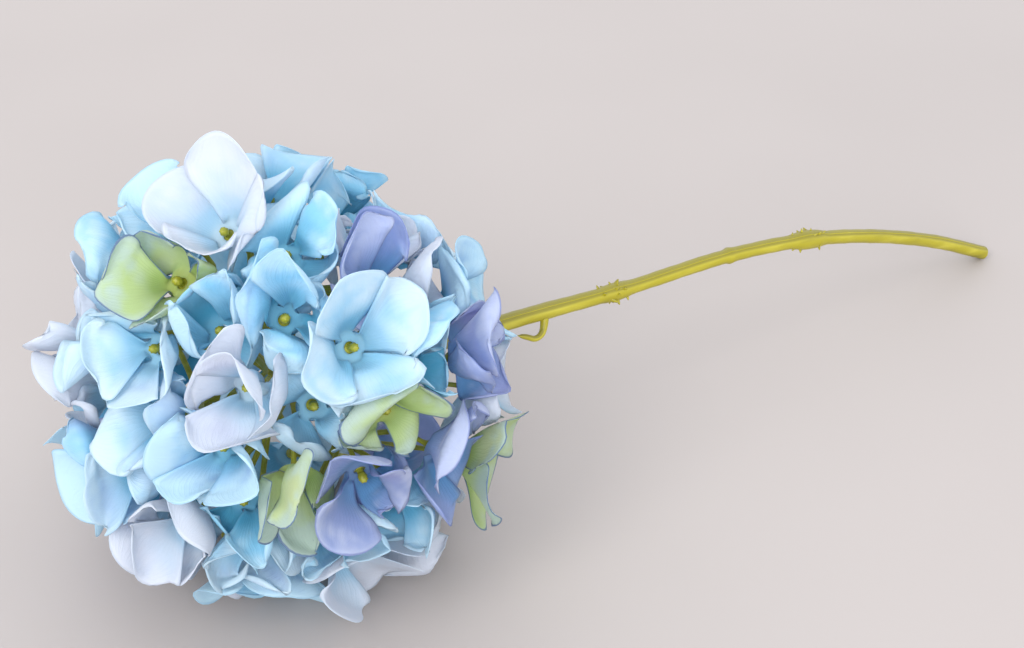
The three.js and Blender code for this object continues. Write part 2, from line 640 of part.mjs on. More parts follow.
function mainStem() {
  const stations = [];
  for (let i = 0; i <= STEM_STEPS; i++) {
    const share = i / STEM_STEPS;
    const { at, along } = onStem(share);
    const top = 1 - THREE.MathUtils.smoothstep(share, 0.3, 0.44);
    stations.push({ at, along, radius: between(STEM_RADIUS, STEM_TOP_RADIUS, top) });
  }
  const pieces = [solid(taperedTube(stations, STEM_SIDES, new THREE.Vector3(0, 1, 0)))];
  pieces.push(...stemNode(16, { bulge: 0.7, halfLength: 7, nubs: 6, nubLength: 2.8, firstNub: 20 }));
  pieces.push(...stemNode(69, { bulge: 0.5, halfLength: 2, nubs: 0, nubLength: 0, firstNub: 0 }));
  pieces.push(...stemNode(107, { bulge: 1, halfLength: 9, nubs: 5, nubLength: 2.6, firstNub: 50 }));
  const lower = new THREE.Vector3(0, -0.5, -0.87).normalize();
  pieces.push(hookedStub(-15, lower, [[0, 0], [4, -0.5], [7.6, -3], [8.6, -7.5], [7, -13]],
    [1.9, 1.75, 1.6, 1.5, 1.3, 0.8]));
  const upper = new THREE.Vector3(0, 0.62, 0.78).normalize();
  pieces.push(hookedStub(-45, upper, [[0, 0], [5, -2], [8.6, -7], [11, -12], [13, -18]],
    [2.2, 2.1, 2.1, 1.8, 1.3, 0.6]));
  return joinAll(pieces);
}

// Where the rays end and the pedicels begin
function rayEnds() {
  const directions = [[0, 0]];
  for (let i = 0; i < 5; i++) directions.push([52, 20 + 72 * i]);
  for (let i = 0; i < 6; i++) directions.push([100, 50 + 60 * i]);
  return directions.map(([polar, turn]) =>
    HEAD_CENTRE.clone().addScaledVector(outward(polar, turn), RAY_LENGTH));
}

// Pedicel, collar, pin and bead of one floret, as one square-sectioned tube
function pedicel(floret, ends) {
  const root = ends.reduce((best, end) =>
    (end.distanceTo(floret.hub) < best.distanceTo(floret.hub) ? end : best));
  const { hub, axis } = floret;
  const at = (height) => hub.clone().addScaledVector(axis, height);
  const bend = at(-13);
  const away = bend.clone().sub(root).normalize();
  const seat = SHEET / 2 + SEAT_GAP;
  const stations = [
    { at: root, along: away, radius: PEDICEL_RADIUS },
    { at: bend, along: away.clone().add(axis).normalize(), radius: PEDICEL_RADIUS },
    { at: at(-seat), along: axis, radius: COLLAR_RADIUS },
    { at: at(-seat), along: axis, radius: PIN_RADIUS },
    { at: at(seat), along: axis, radius: PIN_RADIUS },
    { at: at(seat + 0.9), along: axis, radius: BEAD_RADIUS },
    { at: at(seat + BEAD_HEIGHT), along: axis, radius: 1 },
  ];
  const corner = floret.toCrown.clone().multiplyScalar(Math.cos(radians(floret.spin)))
    .addScaledVector(floret.across, Math.sin(radians(floret.spin)));
  return solid(taperedTube(stations, 4, corner));
}

function flowerRays(florets) {
  const ends = rayEnds();
  const { at, along } = onStem(0);
  const socketEnd = at.clone().addScaledVector(along, SOCKET_DEPTH);
  const core = at.clone().addScaledVector(along, -(SOCKET_LENGTH - SOCKET_DEPTH) / 2);
  const pieces = ends.map((end) => {
    const away = end.clone().sub(core);
    const ray = new THREE.CylinderGeometry(RAY_RADIUS * 0.8, RAY_RADIUS, away.length(), 5)
      .translate(0, away.length() / 2, 0);
    return solid(standing(ray, core, away.normalize()));
  });
  ends.forEach((end) => {
    pieces.push(solid(new THREE.OctahedronGeometry(KNOT_RADIUS, 0).translate(end.x, end.y, end.z)));
  });
  const sleeve = new THREE.CylinderGeometry(SOCKET_RADIUS, SOCKET_RADIUS, SOCKET_LENGTH, STEM_SIDES)
    .translate(0, -SOCKET_LENGTH / 2, 0);
  pieces.push(solid(standing(sleeve, socketEnd, along)));
  florets.forEach((floret) => pieces.push(pedicel(floret, ends)));
  const bore = new THREE.CylinderGeometry(
    STEM_TOP_RADIUS + FIT_GAP, STEM_TOP_RADIUS + FIT_GAP, SOCKET_DEPTH + 2, STEM_SIDES,
  ).translate(0, -SOCKET_DEPTH / 2 + 1 - FIT_GAP / 2, 0);
  return joinAll(pieces).subtract(solid(standing(bore, socketEnd, along)));
}

const plastic = new THREE.MeshStandardMaterial({ color: 0xb3ab1c, roughness: 0.45, metalness: 0 });
const fabrics = Object.fromEntries(Object.entries(TINTS).map(([tint, color]) =>
  [tint, new THREE.MeshStandardMaterial({ color, roughness: 0.85, metalness: 0 })]));

function named(name, geometry, material) {
  geometry.translate(FOOTPRINT_SHIFT.x, FOOTPRINT_SHIFT.y, FOOTPRINT_SHIFT.z);
  const mesh = new THREE.Mesh(geometry, material);
  mesh.name = name;
  return mesh;
}

const hydrangea = new THREE.Group();
const florets = allFlorets();
hydrangea.add(named('main_stem', geometryOf(mainStem()), plastic));
hydrangea.add(named('flower_rays', geometryOf(flowerRays(florets)), plastic));
florets.forEach((floret) => {
  const walls = [...wallsOf(floret, florets), ...partingsOf(floret)];
  const sheet = press(floretSheet(floret), walls);
  const number = String(floret.index + 1).padStart(2, '0');
  hydrangea.add(named(`floret_${number}_${floret.tint}`, thicken(sheet), fabrics[floret.tint]));
});

export default hydrangea;
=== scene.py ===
"""A fabric hydrangea on a bare moulded stem, lying on a pale table.

The florets are placed and pressed by the same rules as the solids: first a few points to a petal, then a
fine cloth over them, which keeps behind the same planes with less room to spare. Lengths are
millimetres until a mesh is made.
"""
import math

import bmesh
import bpy
import numpy as np
from mathutils import Matrix, Vector


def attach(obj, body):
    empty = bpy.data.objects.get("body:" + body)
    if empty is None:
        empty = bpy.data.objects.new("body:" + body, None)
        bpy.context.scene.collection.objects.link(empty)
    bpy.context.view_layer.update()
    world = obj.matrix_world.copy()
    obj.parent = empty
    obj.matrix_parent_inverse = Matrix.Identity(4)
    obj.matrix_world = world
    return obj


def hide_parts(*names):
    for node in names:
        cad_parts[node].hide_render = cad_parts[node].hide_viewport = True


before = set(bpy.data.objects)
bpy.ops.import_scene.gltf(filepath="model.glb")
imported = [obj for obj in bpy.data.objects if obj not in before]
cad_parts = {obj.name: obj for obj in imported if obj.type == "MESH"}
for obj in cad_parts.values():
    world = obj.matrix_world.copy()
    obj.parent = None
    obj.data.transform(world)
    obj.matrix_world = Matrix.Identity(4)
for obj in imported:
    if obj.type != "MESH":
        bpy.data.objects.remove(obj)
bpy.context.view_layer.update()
MM = 0.001

# The head
HEAD_CENTRE = np.array([-122.0, 0.0, 68.0])
FOOTPRINT_SHIFT = np.array([0.0, 3.6, 0.0])  # brings the footprint's middle near the origin
CROWN_TILT = 4  # degrees by which the crown points above level
HUB_DISTANCE = 60  # from the head's centre to a floret's hub
BACK_SWELL = 0.04  # share of that distance added at the back of the head
TOP_DROP = 0.12  # share of it taken off at the back of the head's top, which lies flatter
FLORET_COUNT = 58
LAST_POLAR = 140  # no filling floret sits further from the crown than this, in degrees
LOWEST_HUB = 10  # least height of a floret's hub
SWAY = 15  # degrees by which a floret's axis tips from straight out, by chance
SEEN_SPACING = 21  # florets closer than this push one another aside
FILLING_SPACING = 29  # the same for the florets that fill the rest of the head
COMPARED_WITHIN = 33  # florets further apart than this aren't compared
SETTLINGS = 60  # rounds in which florets push one another aside
SETTLING_GAIN = 0.25  # how much of the missing distance one round makes good
SEEN_LOOSENESS = 0.1  # how readily one of SEEN_FLORETS gives way, where a filling one has 1
DIRECTIONS_TRIED = 700  # places from which those of the filling florets are chosen
BACK_BETWEEN = (85, 150)  # degrees from the crown between which the head's back begins
TOP_BETWEEN = (0.6, 0.95)  # cosines of the turn between which the head's top begins
LEAST_SINE = 0.5  # keeps a floret near the crown from leaning too far sideways

# A floret
PETAL_LENGTH = 26  # from the floret's axis to the petal's tip
PETAL_HALF_WIDTH = 13.8
SHEET = 0.7  # thickness of the solid's fabric
FINE_SHEET = 0.26  # thickness of the fabric that shows
HOLE_RADIUS = 2.0
HUB_RADIUS = 3.8  # from the axis to the middle of a petal's root
NOTCH_RADIUS = 5.4  # where two neighbouring petals part
ROWS = (0.3, 0.58, 0.82, 0.975)  # shares of the petal's length at its rows of coarse points
COLUMNS = (-1, -0.36, 0.36, 1)  # shares of the half width at a row's points
WIDEST_AT = 0.64  # share of the petal's length where it is widest
FULLNESS_AT_ROOT = 1  # the lower, the fuller the petal's outline between root and middle
FULLNESS_AT_TIP = 0.6  # the same between middle and tip
ROOT_SPREAD = 0.8  # a petal's half width near the hub, at most, over its distance from the axis
FREE_SPREAD = 2  # the same further out, where it no longer limits the width
SPREAD_BETWEEN = (0.3, 0.6)  # shares of the length between which the first gives way to the second
ROOT_SHARE = 0.7  # a petal's half width at its root, over the hub's radius
WAVE_TURN = 5  # radians that a petal's slow wave turns through from root to tip
LEAST_CURL = 0.01  # radians, so that nothing is divided by zero
PETALS = 4
RING_POINTS = 3 * PETALS  # coarse points round a floret's hole, hub and notches

# How petals differ by chance: the number of the draw, its lowest value and its highest
PETAL_CHANCES = dict(
    turn=(1, -5, 5),  # degrees
    length=(2, 0.93, 1.07),  # over the usual length
    width=(3, 0.9, 1.08),  # over the usual width
    rise=(4, -20, 20),  # degrees
    curl=(5, -24, 24),  # degrees
    cup=(6, 0.5, 4.5),  # millimetres by which the sides stand above the middle
    wave=(7, 0.4, 1.8),  # millimetres, height of the slow wave
    phase=(8, 0, 2 * math.pi),  # radians, where that wave begins
)

# The same for what a filling floret has in place of a row of SEEN_FLORETS
FILLING_CHANCES = dict(spin=(11, 0, 90), lift=(12, -4, 2), rise=(13, 30, 48), curl=(14, -26, -10))

# How petals crowd
SITE_HEIGHT = 8  # a floret's cell is drawn around a point this far above its hub
REACH = 75  # florets further apart than this don't meet
LAYERING = 3  # how strongly a raised floret's petals lie over a low one's
SHUFFLE = 1.1  # how strongly one floret lies over another by chance
NARROWEST = 14.5  # slanting planes leave each floret's middle half this much room
STALK_ROOM = 3.4  # from a neighbour's stalk to the nearest fabric
BEAD_ROOM = 3.2  # from a floret's own axis to its petals
CLEARANCE = 0.64  # from the middle of the solid's fabric to the plane shared with a neighbour
FINE_CLEARANCE = 0.3  # the same for the fabric that shows
PETAL_OVERLAP_TILT = 58  # degrees, slant of the plane between two petals of one floret
PRESSES = 150  # rounds of bending
LAST_PRESSES = 24  # rounds that only keep behind the planes
LEAST_SPAN = 0.9  # share of their distance that two points of a petal keep, so it can't fold flat
STRUT_FIRMNESS = 0.5  # how firmly they keep it, where an edge of the mesh has 1
BEND_FIRMNESS = 0.35  # the same for the two points that face each other across an edge
COUNTED_CURL = 0.4  # share of a floret's curl in the slope of the planes between its petals
TABLE_GAP = 0.02  # least air between the fabric and the table
OUT_OF_REACH = 1e6  # offset of a plane that is never reached
NEARLY_NOTHING = 1e-6  # so that no length is divided by zero

# The fine cloth
FINE_ROWS = 21  # from the hub to the tip
FINE_COLUMNS = 15  # across the petal
TOP_ROW_AT = 0.8  # share of the length where the last row meets the petal's sides
FINE_LENGTH = 1.15  # how much longer than the solid's petals the fine ones are
FINE_WIDTH = 1.22  # how much wider
SECOND_ROW_AT = 1.6  # steps from the first row to the second, which also belongs to the hub's ring
HELD_ROWS = 2  # rows that don't move when the cloth settles
ARC_BETWEEN = (0.05, 0.3)  # shares of the length between which the ring passes into the blade
LAYING_SOFTNESS = 0.5  # how far the laid cloth may miss the pressed points
FINE_PRESSES = 60
LATE_PRESSES = 4  # how many of these are the last ones, which smooth less
SMOOTHING = 0.21  # share of a bend that one round takes out
LATE_SMOOTHING = 0.12
LAST_SMOOTHINGS = 3  # rounds that only even out the creases
CREASE_SMOOTHING = 0.3
SLANT_FIRMNESS = 0.6  # how firmly the cloth holds along its diagonals, where its threads have 1
FINE_SPREAD = 1.05  # the fine petals' half width near the hub, at most, over the distance from the axis
EDGE_GROWTH = 0.15  # share by which the rim is longer than flat, which ruffles it
GROWN_FROM = 0.55  # share of the length and of the half width where that rim begins
GROWN_SIDE_BETWEEN = (0.2, 0.6)  # shares of the length between which it begins at the sides
RUFFLE = 2.1  # height of the first waves along the rim
RUFFLED_FROM = 0.45  # share of the length where these waves begin
RUFFLED_SIDE_FROM = 0.5  # share of the half width where they do
WHOLE_TURN = 6.3  # radians, the range of the waves' starting angles
DISC_RINGS = 3  # rings of points from the hole to the petals' roots
EDGE_STEPS = 6  # points on each piece of the lines from which the dye's distances are measured
FAR_FROM_EDGE = 12.0  # distance to the petal's edge that these rings are given, for the dye

# The moulded spray and stem
PIN_RADIUS = 1.1
COLLAR_RADIUS = 2.4
BEAD_RADIUS = 2.3
BEAD_HEIGHT = 4.6
SEAT_GAP = 0.3  # between the solid's fabric and the collar or the bead
SEAT = SHEET / 2 + SEAT_GAP  # height of the bead's foot and depth of the collar's top
BEAD_SINK = 0.46  # share of its height by which a bead's middle stands above its foot
BEAD_TURN = 6  # radians by which beads are turned, at most
SLEEVE_SIDES = 40
SPRAY_SIDES = 12
PEDICEL_RADIUS = 0.95
RAY_RADIUS = 1.7
RAY_LENGTH = 31
KNOT_RADIUS = 2.6
SOCKET_RADIUS = 5
SOCKET_LENGTH = 15
SOCKET_DEPTH = 9
SOCKET_PLAY = 0.3  # from the stem's top to the lip of the socket
STEM_SIDES = 32
THIN_SIDES = 14  # of the seams and the stubs
STEM_POINTS = 170  # along the stem's guide
SEAM_START = 8  # points from the stem's top to where its seams begin
STEM_RADIUS = 2.7
STEM_TOP_RADIUS = 3.1
SPLINE_SAMPLES = 40  # points from one given point of a smooth line to the next
NEXT_SHARE = 0.002  # share of a line's length to either side, over which its direction is measured
SEAM_RADIUS = 0.34  # of the line where the two halves of the mould met
SEAM_SINK = 0.12  # how deep the middle of that line lies in the stem
SEAM_TURNS = (-62, 118)  # degrees round the stem

# Florets that give the head its look from the front and above.
# polar: degrees from the crown. turn: degrees round the crown's axis, from the top towards -Y.
# spin: turns the petals. lift: raises the hub. rise: how steeply the petals leave the hub, and curl
# how much steeper they are at their tips, in degrees. Where given, lean tips the floret
# (away from the crown, round it), rises, lengths and widths set its petals one by one, and slim
# narrows them all.
FLORET_FIELDS = ("tint", "polar", "turn", "spin", "lift", "rise", "curl")
SEEN_FLORETS = [
    ("white", 72, -1, 40, 4, 40, -10, dict(lean=(-24, 16), rises=(34, 52, 40, 24),
        lengths=(0.9, 1, 1.22, 1.05), widths=(0.9, 1, 0.76, 0.95))),
    ("blue", 81, 16, 20, 2, 46, -22, dict(lean=(-6, 12))),
    ("blue", 70, 38, 50, 4, 54, -20, dict(lean=(4, 8))),
    ("pale", 84, 53, 20, 5, 46, -24, dict(lean=(6, 10), rises=(66, 56, 64, 50),
        lengths=(0.95, 1.08, 1, 1.1))),
    ("green", 90, 68, 40, 3, 30, -26, dict(lean=(4, 12), slim=0.86)),
    ("blue", 107, 56, 32, 2, 44, -20, dict(lean=(2, 0))),
    ("lavender", 113, 92, 52, 2, 42, -12, {}),
    ("pale", 100, 107, 70, -1, 46, -16, {}),
    ("green", 128, 107, 25, 6, 28, -10, dict(lean=(4, -14))),
    ("lavender", 126, 63, 40, 3, 40, -12, {}),
    ("white", 139, 82, 76, 4, 30, -10, dict(lean=(0, 0))),
    ("blue", 139, 44, 10, 2, 30, -8, dict(lean=(0, 0), lengths=(0.95, 1, 1, 0.86))),
    ("white", 118, 40, 55, -2, 42, -16, {}),
    ("lavender", 99, 38, 59, 3, 46, -20, dict(lean=(2, 4))),
    ("blue", 112, -5, 70, -6, 38, -20, dict(lean=(-6, 8))),
    ("pale", 95, -19, 25, -1, 44, -14, dict(lean=(-4, 6))),
    ("white", 112, 17, 40, -3, 44, -18, dict(lengths=(1, 0.92, 0.9, 1))),
    ("green", 66, 80, 42, 4, 68, -14, dict(lean=(4, 38), lengths=(1, 1.12, 1, 1.12), slim=0.8)),
    ("white", 56, 52, 50, 5, 58, -14, dict(lean=(-16, 14), lengths=(1, 1.1, 1.12, 1.12))),
    ("pale", 71, 66, 20, -4, 54, -24, dict(lean=(2, 0))),
    ("blue", 44, 67, 60, 1, 48, -20, dict(lean=(0, 4))),
    ("lavender", 82, 84, 29, 3, 34, -16, dict(lean=(0, 24))),
    ("blue", 51, 31, 15, -3, 54, -24, dict(lean=(0, 6))),
    ("pale", 35, 22, 60, 2, 48, -20, {}),
    ("green", 51, 4, 62, 3, 40, -14, dict(lean=(-8, 12), slim=0.9)),
    ("blue", 62, -25, 64, 0, 50, -8, dict(lean=(-8, 0))),
    ("blue", 48, -38, 12, 0, 46, -18, {}),
    ("white", 34, -54, 55, 0, 42, -12, {}),
    ("pale", 29, -14, 69, 0, 46, -16, {}),
    ("white", 19, -80, 22, 1, 42, -14, {}),
    ("pale", 30, 50, 74, 1, 50, -24, {}),
    ("blue", 12, 215, 66, 2, 44, -20, {}),
    ("pale", 18, 118, 54, 2, 44, -18, {}),
    ("white", 31, 156, 12, 1, 40, -14, {}),
    ("white", 38, 117, 54, 2, 58, -24, dict(lean=(-6, -8))),
    ("blue", 50, 97, 30, 0, 50, -22, {}),
    ("pale", 56, 125, 56, 1, 56, -24, dict(lean=(0, -10))),
    ("blue", 70, 149, 5, 1, 40, -18, dict(lean=(0, -14))),
    ("white", 88, 129, 36, 2, 40, -16, dict(lean=(0, -14))),
    ("pale", 78, 106, 64, -1, 56, -20, dict(lean=(0, -6))),
]
FILLING_TINTS = ("blue", "pale", "white", "blue", "pale", "lavender", "blue", "white", "pale")

# Head directions: the crown points along -X, tipped up a little
CROWN = np.array([-math.cos(math.radians(CROWN_TILT)), 0, math.sin(math.radians(CROWN_TILT))])
HEAD_TOP = np.array([math.sin(math.radians(CROWN_TILT)), 0, math.cos(math.radians(CROWN_TILT))])
HEAD_SIDE = np.array([0.0, -1.0, 0.0])


def chance(floret, petal, which):
    """Repeatable chance between 0 and 1. The last argument is the number of the draw."""
    wave = math.sin(floret * 12.9898 + petal * 78.233 + which * 37.719 + 4.1) * 43758.5453
    return wave - math.floor(wave)


def between(low, high, share):
    return low + (high - low) * share


def unit(vectors):
    return vectors / np.linalg.norm(vectors, axis=-1, keepdims=True)


def smoothstep(value, low, high):
    share = np.clip((value - low) / (high - low), 0, 1)
    return share * share * (3 - 2 * share)


def compass(polar, turn):
    """Cosine and sine of an angle from the crown, and the direction across it that the turn gives."""
    polar, turn = math.radians(polar), math.radians(turn)
    return math.cos(polar), math.sin(polar), HEAD_TOP * math.cos(turn) + HEAD_SIDE * math.sin(turn)


def outward(polar, turn):
    """Direction from the head's centre."""
    cos, sin, across = compass(polar, turn)
    return CROWN * cos + across * sin


def crownward(polar, turn):
    """Direction along the head's surface towards the crown."""
    cos, sin, across = compass(polar, turn)
    return CROWN * sin - across * cos


def place(floret, index):
    """Adds a floret's hub and axes to what the table says of it."""
    back = float(smoothstep(floret["polar"], *BACK_BETWEEN))
    top = float(smoothstep(math.cos(math.radians(floret["turn"])), *TOP_BETWEEN))
    distance = HUB_DISTANCE * (1 + (BACK_SWELL - TOP_DROP * top) * back) + floret["lift"]
    ray = outward(floret["polar"], floret["turn"])
    hub = HEAD_CENTRE + ray * distance
    hub[2] = max(hub[2], LOWEST_HUB)
    lean = floret.get("lean") or [between(-SWAY, SWAY, chance(index, 0, which)) for which in (31, 32)]
    sideways = lean[1] / max(LEAST_SINE, math.sin(math.radians(floret["polar"])))
    facing = (floret["polar"] + lean[0], floret["turn"] + sideways)
    axis, to_crown = outward(*facing), crownward(*facing)
    return dict(floret, index=index, ray=ray, hub=hub, axis=axis, to_crown=to_crown,
                across=np.cross(axis, to_crown))


def angles_of(ray):
    """The opposite of outward: polar and turn of a direction."""
    turn = math.atan2(ray @ HEAD_SIDE, ray @ HEAD_TOP)
    return dict(polar=math.degrees(math.acos(ray @ CROWN)), turn=math.degrees(turn))


def settle(rays, looseness, room):
    """Moves directions apart where florets would crowd, the looser ones more."""
    for _ in range(SETTLINGS):
        for i in range(len(rays)):
            near = np.linalg.norm(np.array(rays[:i]).reshape(-1, 3) - rays[i], axis=1) * HUB_DISTANCE
            for j in np.nonzero(near < COMPARED_WITHIN)[0]:
                away = rays[i] - rays[j]
                span = math.sqrt(away @ away)
                shortfall = (room[i] + room[j]) / 2 - span * HUB_DISTANCE
                if shortfall <= 0:
                    continue
                push = SETTLING_GAIN * shortfall / HUB_DISTANCE / (looseness[i] + looseness[j])
                away = away / span * push
                rays[i] = unit(rays[i] + away * looseness[i])
                rays[j] = unit(rays[j] - away * looseness[j])


def directions_tried():
    """Angles spread evenly from the crown to the last florets, in a spiral."""
    golden_turn = 180 * (3 - math.sqrt(5))
    lowest = math.cos(math.radians(LAST_POLAR))
    angles = []
    for i in range(DIRECTIONS_TRIED):
        polar = math.degrees(math.acos(between(1, lowest, (i + 0.5) / DIRECTIONS_TRIED)))
        angles.append((polar, (i * golden_turn) % 360))
    return angles


def all_florets():
    """The florets seen from the front, then others that fill the widest gaps that are left."""
    chosen = [dict(zip(FLORET_FIELDS, common), **own) for *common, own in SEEN_FLORETS]
    rays = [outward(f["polar"], f["turn"]) for f in chosen]
    tried = directions_tried()
    tried_rays = np.array([outward(*angles) for angles in tried])
    while len(chosen) < FLORET_COUNT:
        nearest = (tried_rays @ np.array(rays).T).max(axis=1)
        best = int(nearest.argmin())
        n = len(chosen)
        rays.append(tried_rays[best])
        chosen.append(dict(
            tint=FILLING_TINTS[n % len(FILLING_TINTS)],
            polar=tried[best][0],
            turn=tried[best][1],
            **{what: between(low, high, chance(n, 0, which))
               for what, (which, low, high) in FILLING_CHANCES.items()},
        ))
    seen = [i < len(SEEN_FLORETS) for i in range(FLORET_COUNT)]
    looseness = [SEEN_LOOSENESS if s else 1 for s in seen]
    settle(rays, looseness, [SEEN_SPACING if s else FILLING_SPACING for s in seen])
    return [place(dict(f, **angles_of(rays[i])), i) for i, f in enumerate(chosen)]


def petals_of(florets):
    """Every petal's own size and bend, as arrays of florets by petals."""
    def draw(what):
        which, low, high = PETAL_CHANCES[what]
        return np.array([[between(low, high, chance(f["index"], k, which)) for k in range(PETALS)]
                         for f in florets])

    def own(key, otherwise):
        return np.array([[f[key][k] if key in f else otherwise[i, k] for k in range(PETALS)]
                         for i, f in enumerate(florets)])

    def shared(key, otherwise=None):
        return np.array([[f.get(key, otherwise)] * PETALS for f in florets], float)

    quarter = np.arange(PETALS) * 360 / PETALS
    return dict(
        turn=np.radians(shared("spin") + quarter + draw("turn")),
        length=PETAL_LENGTH * own("lengths", draw("length")),
        half_width=PETAL_HALF_WIDTH * shared("slim", 1) * own("widths", draw("width")),
        rise=np.radians(own("rises", shared("rise") + draw("rise"))),
        curl=np.radians(shared("curl") + draw("curl")),
        cup=draw("cup"),
        wave=draw("wave"),
        phase=draw("phase"),
    )


def width_of(along, out, half_width, root_spread=ROOT_SPREAD):
    """Half width of a petal at a share of its length, and the share of its widest that this swell is."""
    fullness = np.where(along < WIDEST_AT, FULLNESS_AT_ROOT, FULLNESS_AT_TIP)
    swell = np.sin(np.pi * along ** (math.log(0.5) / math.log(WIDEST_AT))) ** fullness
    room = out * between(root_spread, FREE_SPREAD, smoothstep(along, *SPREAD_BETWEEN))
    return np.minimum(room, HUB_RADIUS * ROOT_SHARE * (1 - along) + half_width * swell), swell


def petal_points(petals, along, side, root_spread=ROOT_SPREAD):
    """Points of all petals before they are pressed, each in its floret's own frame."""
    p = {key: value[..., None] for key, value in petals.items()}
    run = p["length"] - HUB_RADIUS
    curl = np.where(np.abs(p["curl"]) < LEAST_CURL, LEAST_CURL, p["curl"])
    steep = p["rise"] + curl * along
    out = HUB_RADIUS + run * (np.sin(steep) - np.sin(p["rise"])) / curl
    up = run * (np.cos(p["rise"]) - np.cos(steep)) / curl
    width, swell = width_of(along, out, p["half_width"], root_spread)
    wave = p["wave"] * side * along * np.sin(p["phase"] + WAVE_TURN * along)
    lift = p["cup"] * side * side * swell + wave
    x, y, z = out - np.sin(steep) * lift, width * side, up + np.cos(steep) * lift
    cos, sin = np.cos(p["turn"]), np.sin(p["turn"])
    return np.stack([x * cos - y * sin, x * sin + y * cos, z], axis=-1)


def to_head(florets, local):
    """Points in each floret's own frame, carried to the head."""
    axes = np.array([[f["to_crown"], f["across"], f["axis"]] for f in florets])
    hubs = np.array([f["hub"] for f in florets])
    shape = local.shape
    flat = local.reshape(len(florets), -1, 3) @ axes + hubs[:, None]
    return flat.reshape(shape)


def ring(florets, radius, shares):
    """Points round each floret's axis, at these shares of a turn from its first petal."""
    angle = np.radians([f["spin"] for f in florets])[:, None] + 2 * np.pi * np.asarray(shares)
    local = np.stack([radius * np.cos(angle), radius * np.sin(angle), np.zeros_like(angle)], axis=-1)
    return to_head(florets, local)


COARSE_GRID = [(along, side) for along in ROWS for side in (COLUMNS if along != ROWS[-1] else (-1, 1))]


def coarse_triangles():
    """Triangles of a floret's coarse points, and the petal that owns each point, or -1 for none.

    The points are 4 at the hole, 4 at the hub and 4 at the notches, then every petal's own rows.
    """
    hole, hub, notch = [0, 1, 2, 3], [4, 5, 6, 7], [8, 9, 10, 11]
    owner = [-1] * RING_POINTS
    triangles = []

    def zip_rows(inner, outer):
        i = j = 0
        while i < len(inner) - 1 or j < len(outer) - 1:
            inner_next = (i + 0.5) / (len(inner) - 1)
            outer_next = (j + 0.5) / (len(outer) - 1)
            if i < len(inner) - 1 and inner_next <= outer_next:
                triangles.append((inner[i], outer[j], inner[i + 1]))
                i += 1
            else:
                triangles.append((inner[i], outer[j], outer[j + 1]))
                j += 1

    for k in range(PETALS):
        before, after = (k + PETALS - 1) % PETALS, (k + 1) % PETALS
        triangles.append((hole[k], hub[k], hub[after]))
        triangles.append((hole[k], hub[after], hole[after]))
        triangles.append((hub[k], notch[k], hub[after]))
        rows = []
        for along in ROWS:
            count = sum(1 for a, _ in COARSE_GRID if a == along)
            rows.append(list(range(len(owner), len(owner) + count)))
            owner += [k] * count
        zip_rows([notch[before], hub[k], notch[k]], rows[0])
        for inner, outer in zip(rows, rows[1:]):
            zip_rows(inner, outer)
    return triangles, np.array(owner)


def coarse_points(florets, petals):
    """The few points of every floret's middle surface before it is pressed."""
    along = np.array([a for a, _ in COARSE_GRID])
    side = np.array([s for _, s in COARSE_GRID], float)
    quarters = np.arange(PETALS) / PETALS
    blades = to_head(florets, petal_points(petals, along, side)).reshape(len(florets), -1, 3)
    return np.concatenate([
        ring(florets, HOLE_RADIUS, quarters + 0.5 / PETALS),
        ring(florets, HUB_RADIUS, quarters),
        ring(florets, NOTCH_RADIUS, quarters + 0.5 / PETALS),
        blades,
    ], axis=1)


def walls_of(floret, florets):
    """Planes that a floret's petals keep behind, as (normal, offset, petal, shared with a neighbour).

    The petal is the one that the plane holds back, or -1 for all four.
    """
    walls = [(np.array([0.0, 0.0, -1.0]), -SHEET / 2 - TABLE_GAP, -1, False)]
    site = floret["hub"] + floret["axis"] * SITE_HEIGHT
    for other in florets:
        aside = other["hub"] - floret["hub"]
        apart = math.sqrt(aside @ aside)
        if other is floret or apart > REACH:
            continue
        other_site = other["hub"] + other["axis"] * SITE_HEIGHT
        low, high = sorted((floret["index"], other["index"]))
        shuffled = between(-SHUFFLE, SHUFFLE, chance(low, high, 21))
        if low != floret["index"]:
            shuffled = -shuffled
        steepest = math.sqrt(max(0, (apart / NARROWEST) ** 2 - 1))
        wanted = LAYERING * (other["lift"] - floret["lift"]) / apart + shuffled
        slant = min(max(wanted, -steepest), steepest)
        normal = unit(unit(other_site - site) + unit(floret["ray"] + other["ray"]) * slant)
        walls.append((normal, normal @ (site + other_site) / 2 - CLEARANCE, -1, True))
        aside = unit(aside - other["axis"] * (aside @ other["axis"]))
        walls.append((aside, aside @ other["hub"] - STALK_ROOM, -1, False))
    tilt = math.radians(PETAL_OVERLAP_TILT)
    slope = math.radians(floret["rise"] + floret["curl"] * COUNTED_CURL)
    for k in range(PETALS):
        angle = math.radians(floret["spin"] + (360 / PETALS) * (k + 0.5))
        on_top = -1 if chance(floret["index"], k, 20) < 0.5 else 1
        radial = floret["to_crown"] * math.cos(angle) + floret["across"] * math.sin(angle)
        over = floret["axis"] * math.cos(slope) - radial * math.sin(slope)
        normal = np.cross(floret["axis"], radial) * math.cos(tilt) + over * on_top * math.sin(tilt)
        level = normal @ floret["hub"]
        own_side = math.radians(floret["spin"] + (360 / PETALS) * k)
        inwards = -floret["to_crown"] * math.cos(own_side) - floret["across"] * math.sin(own_side)
        walls.append((inwards, inwards @ floret["hub"] - BEAD_ROOM, k, False))
        walls.append((normal, level - CLEARANCE, k, True))
        walls.append((-normal, -level - CLEARANCE, (k + 1) % PETALS, True))
    return walls


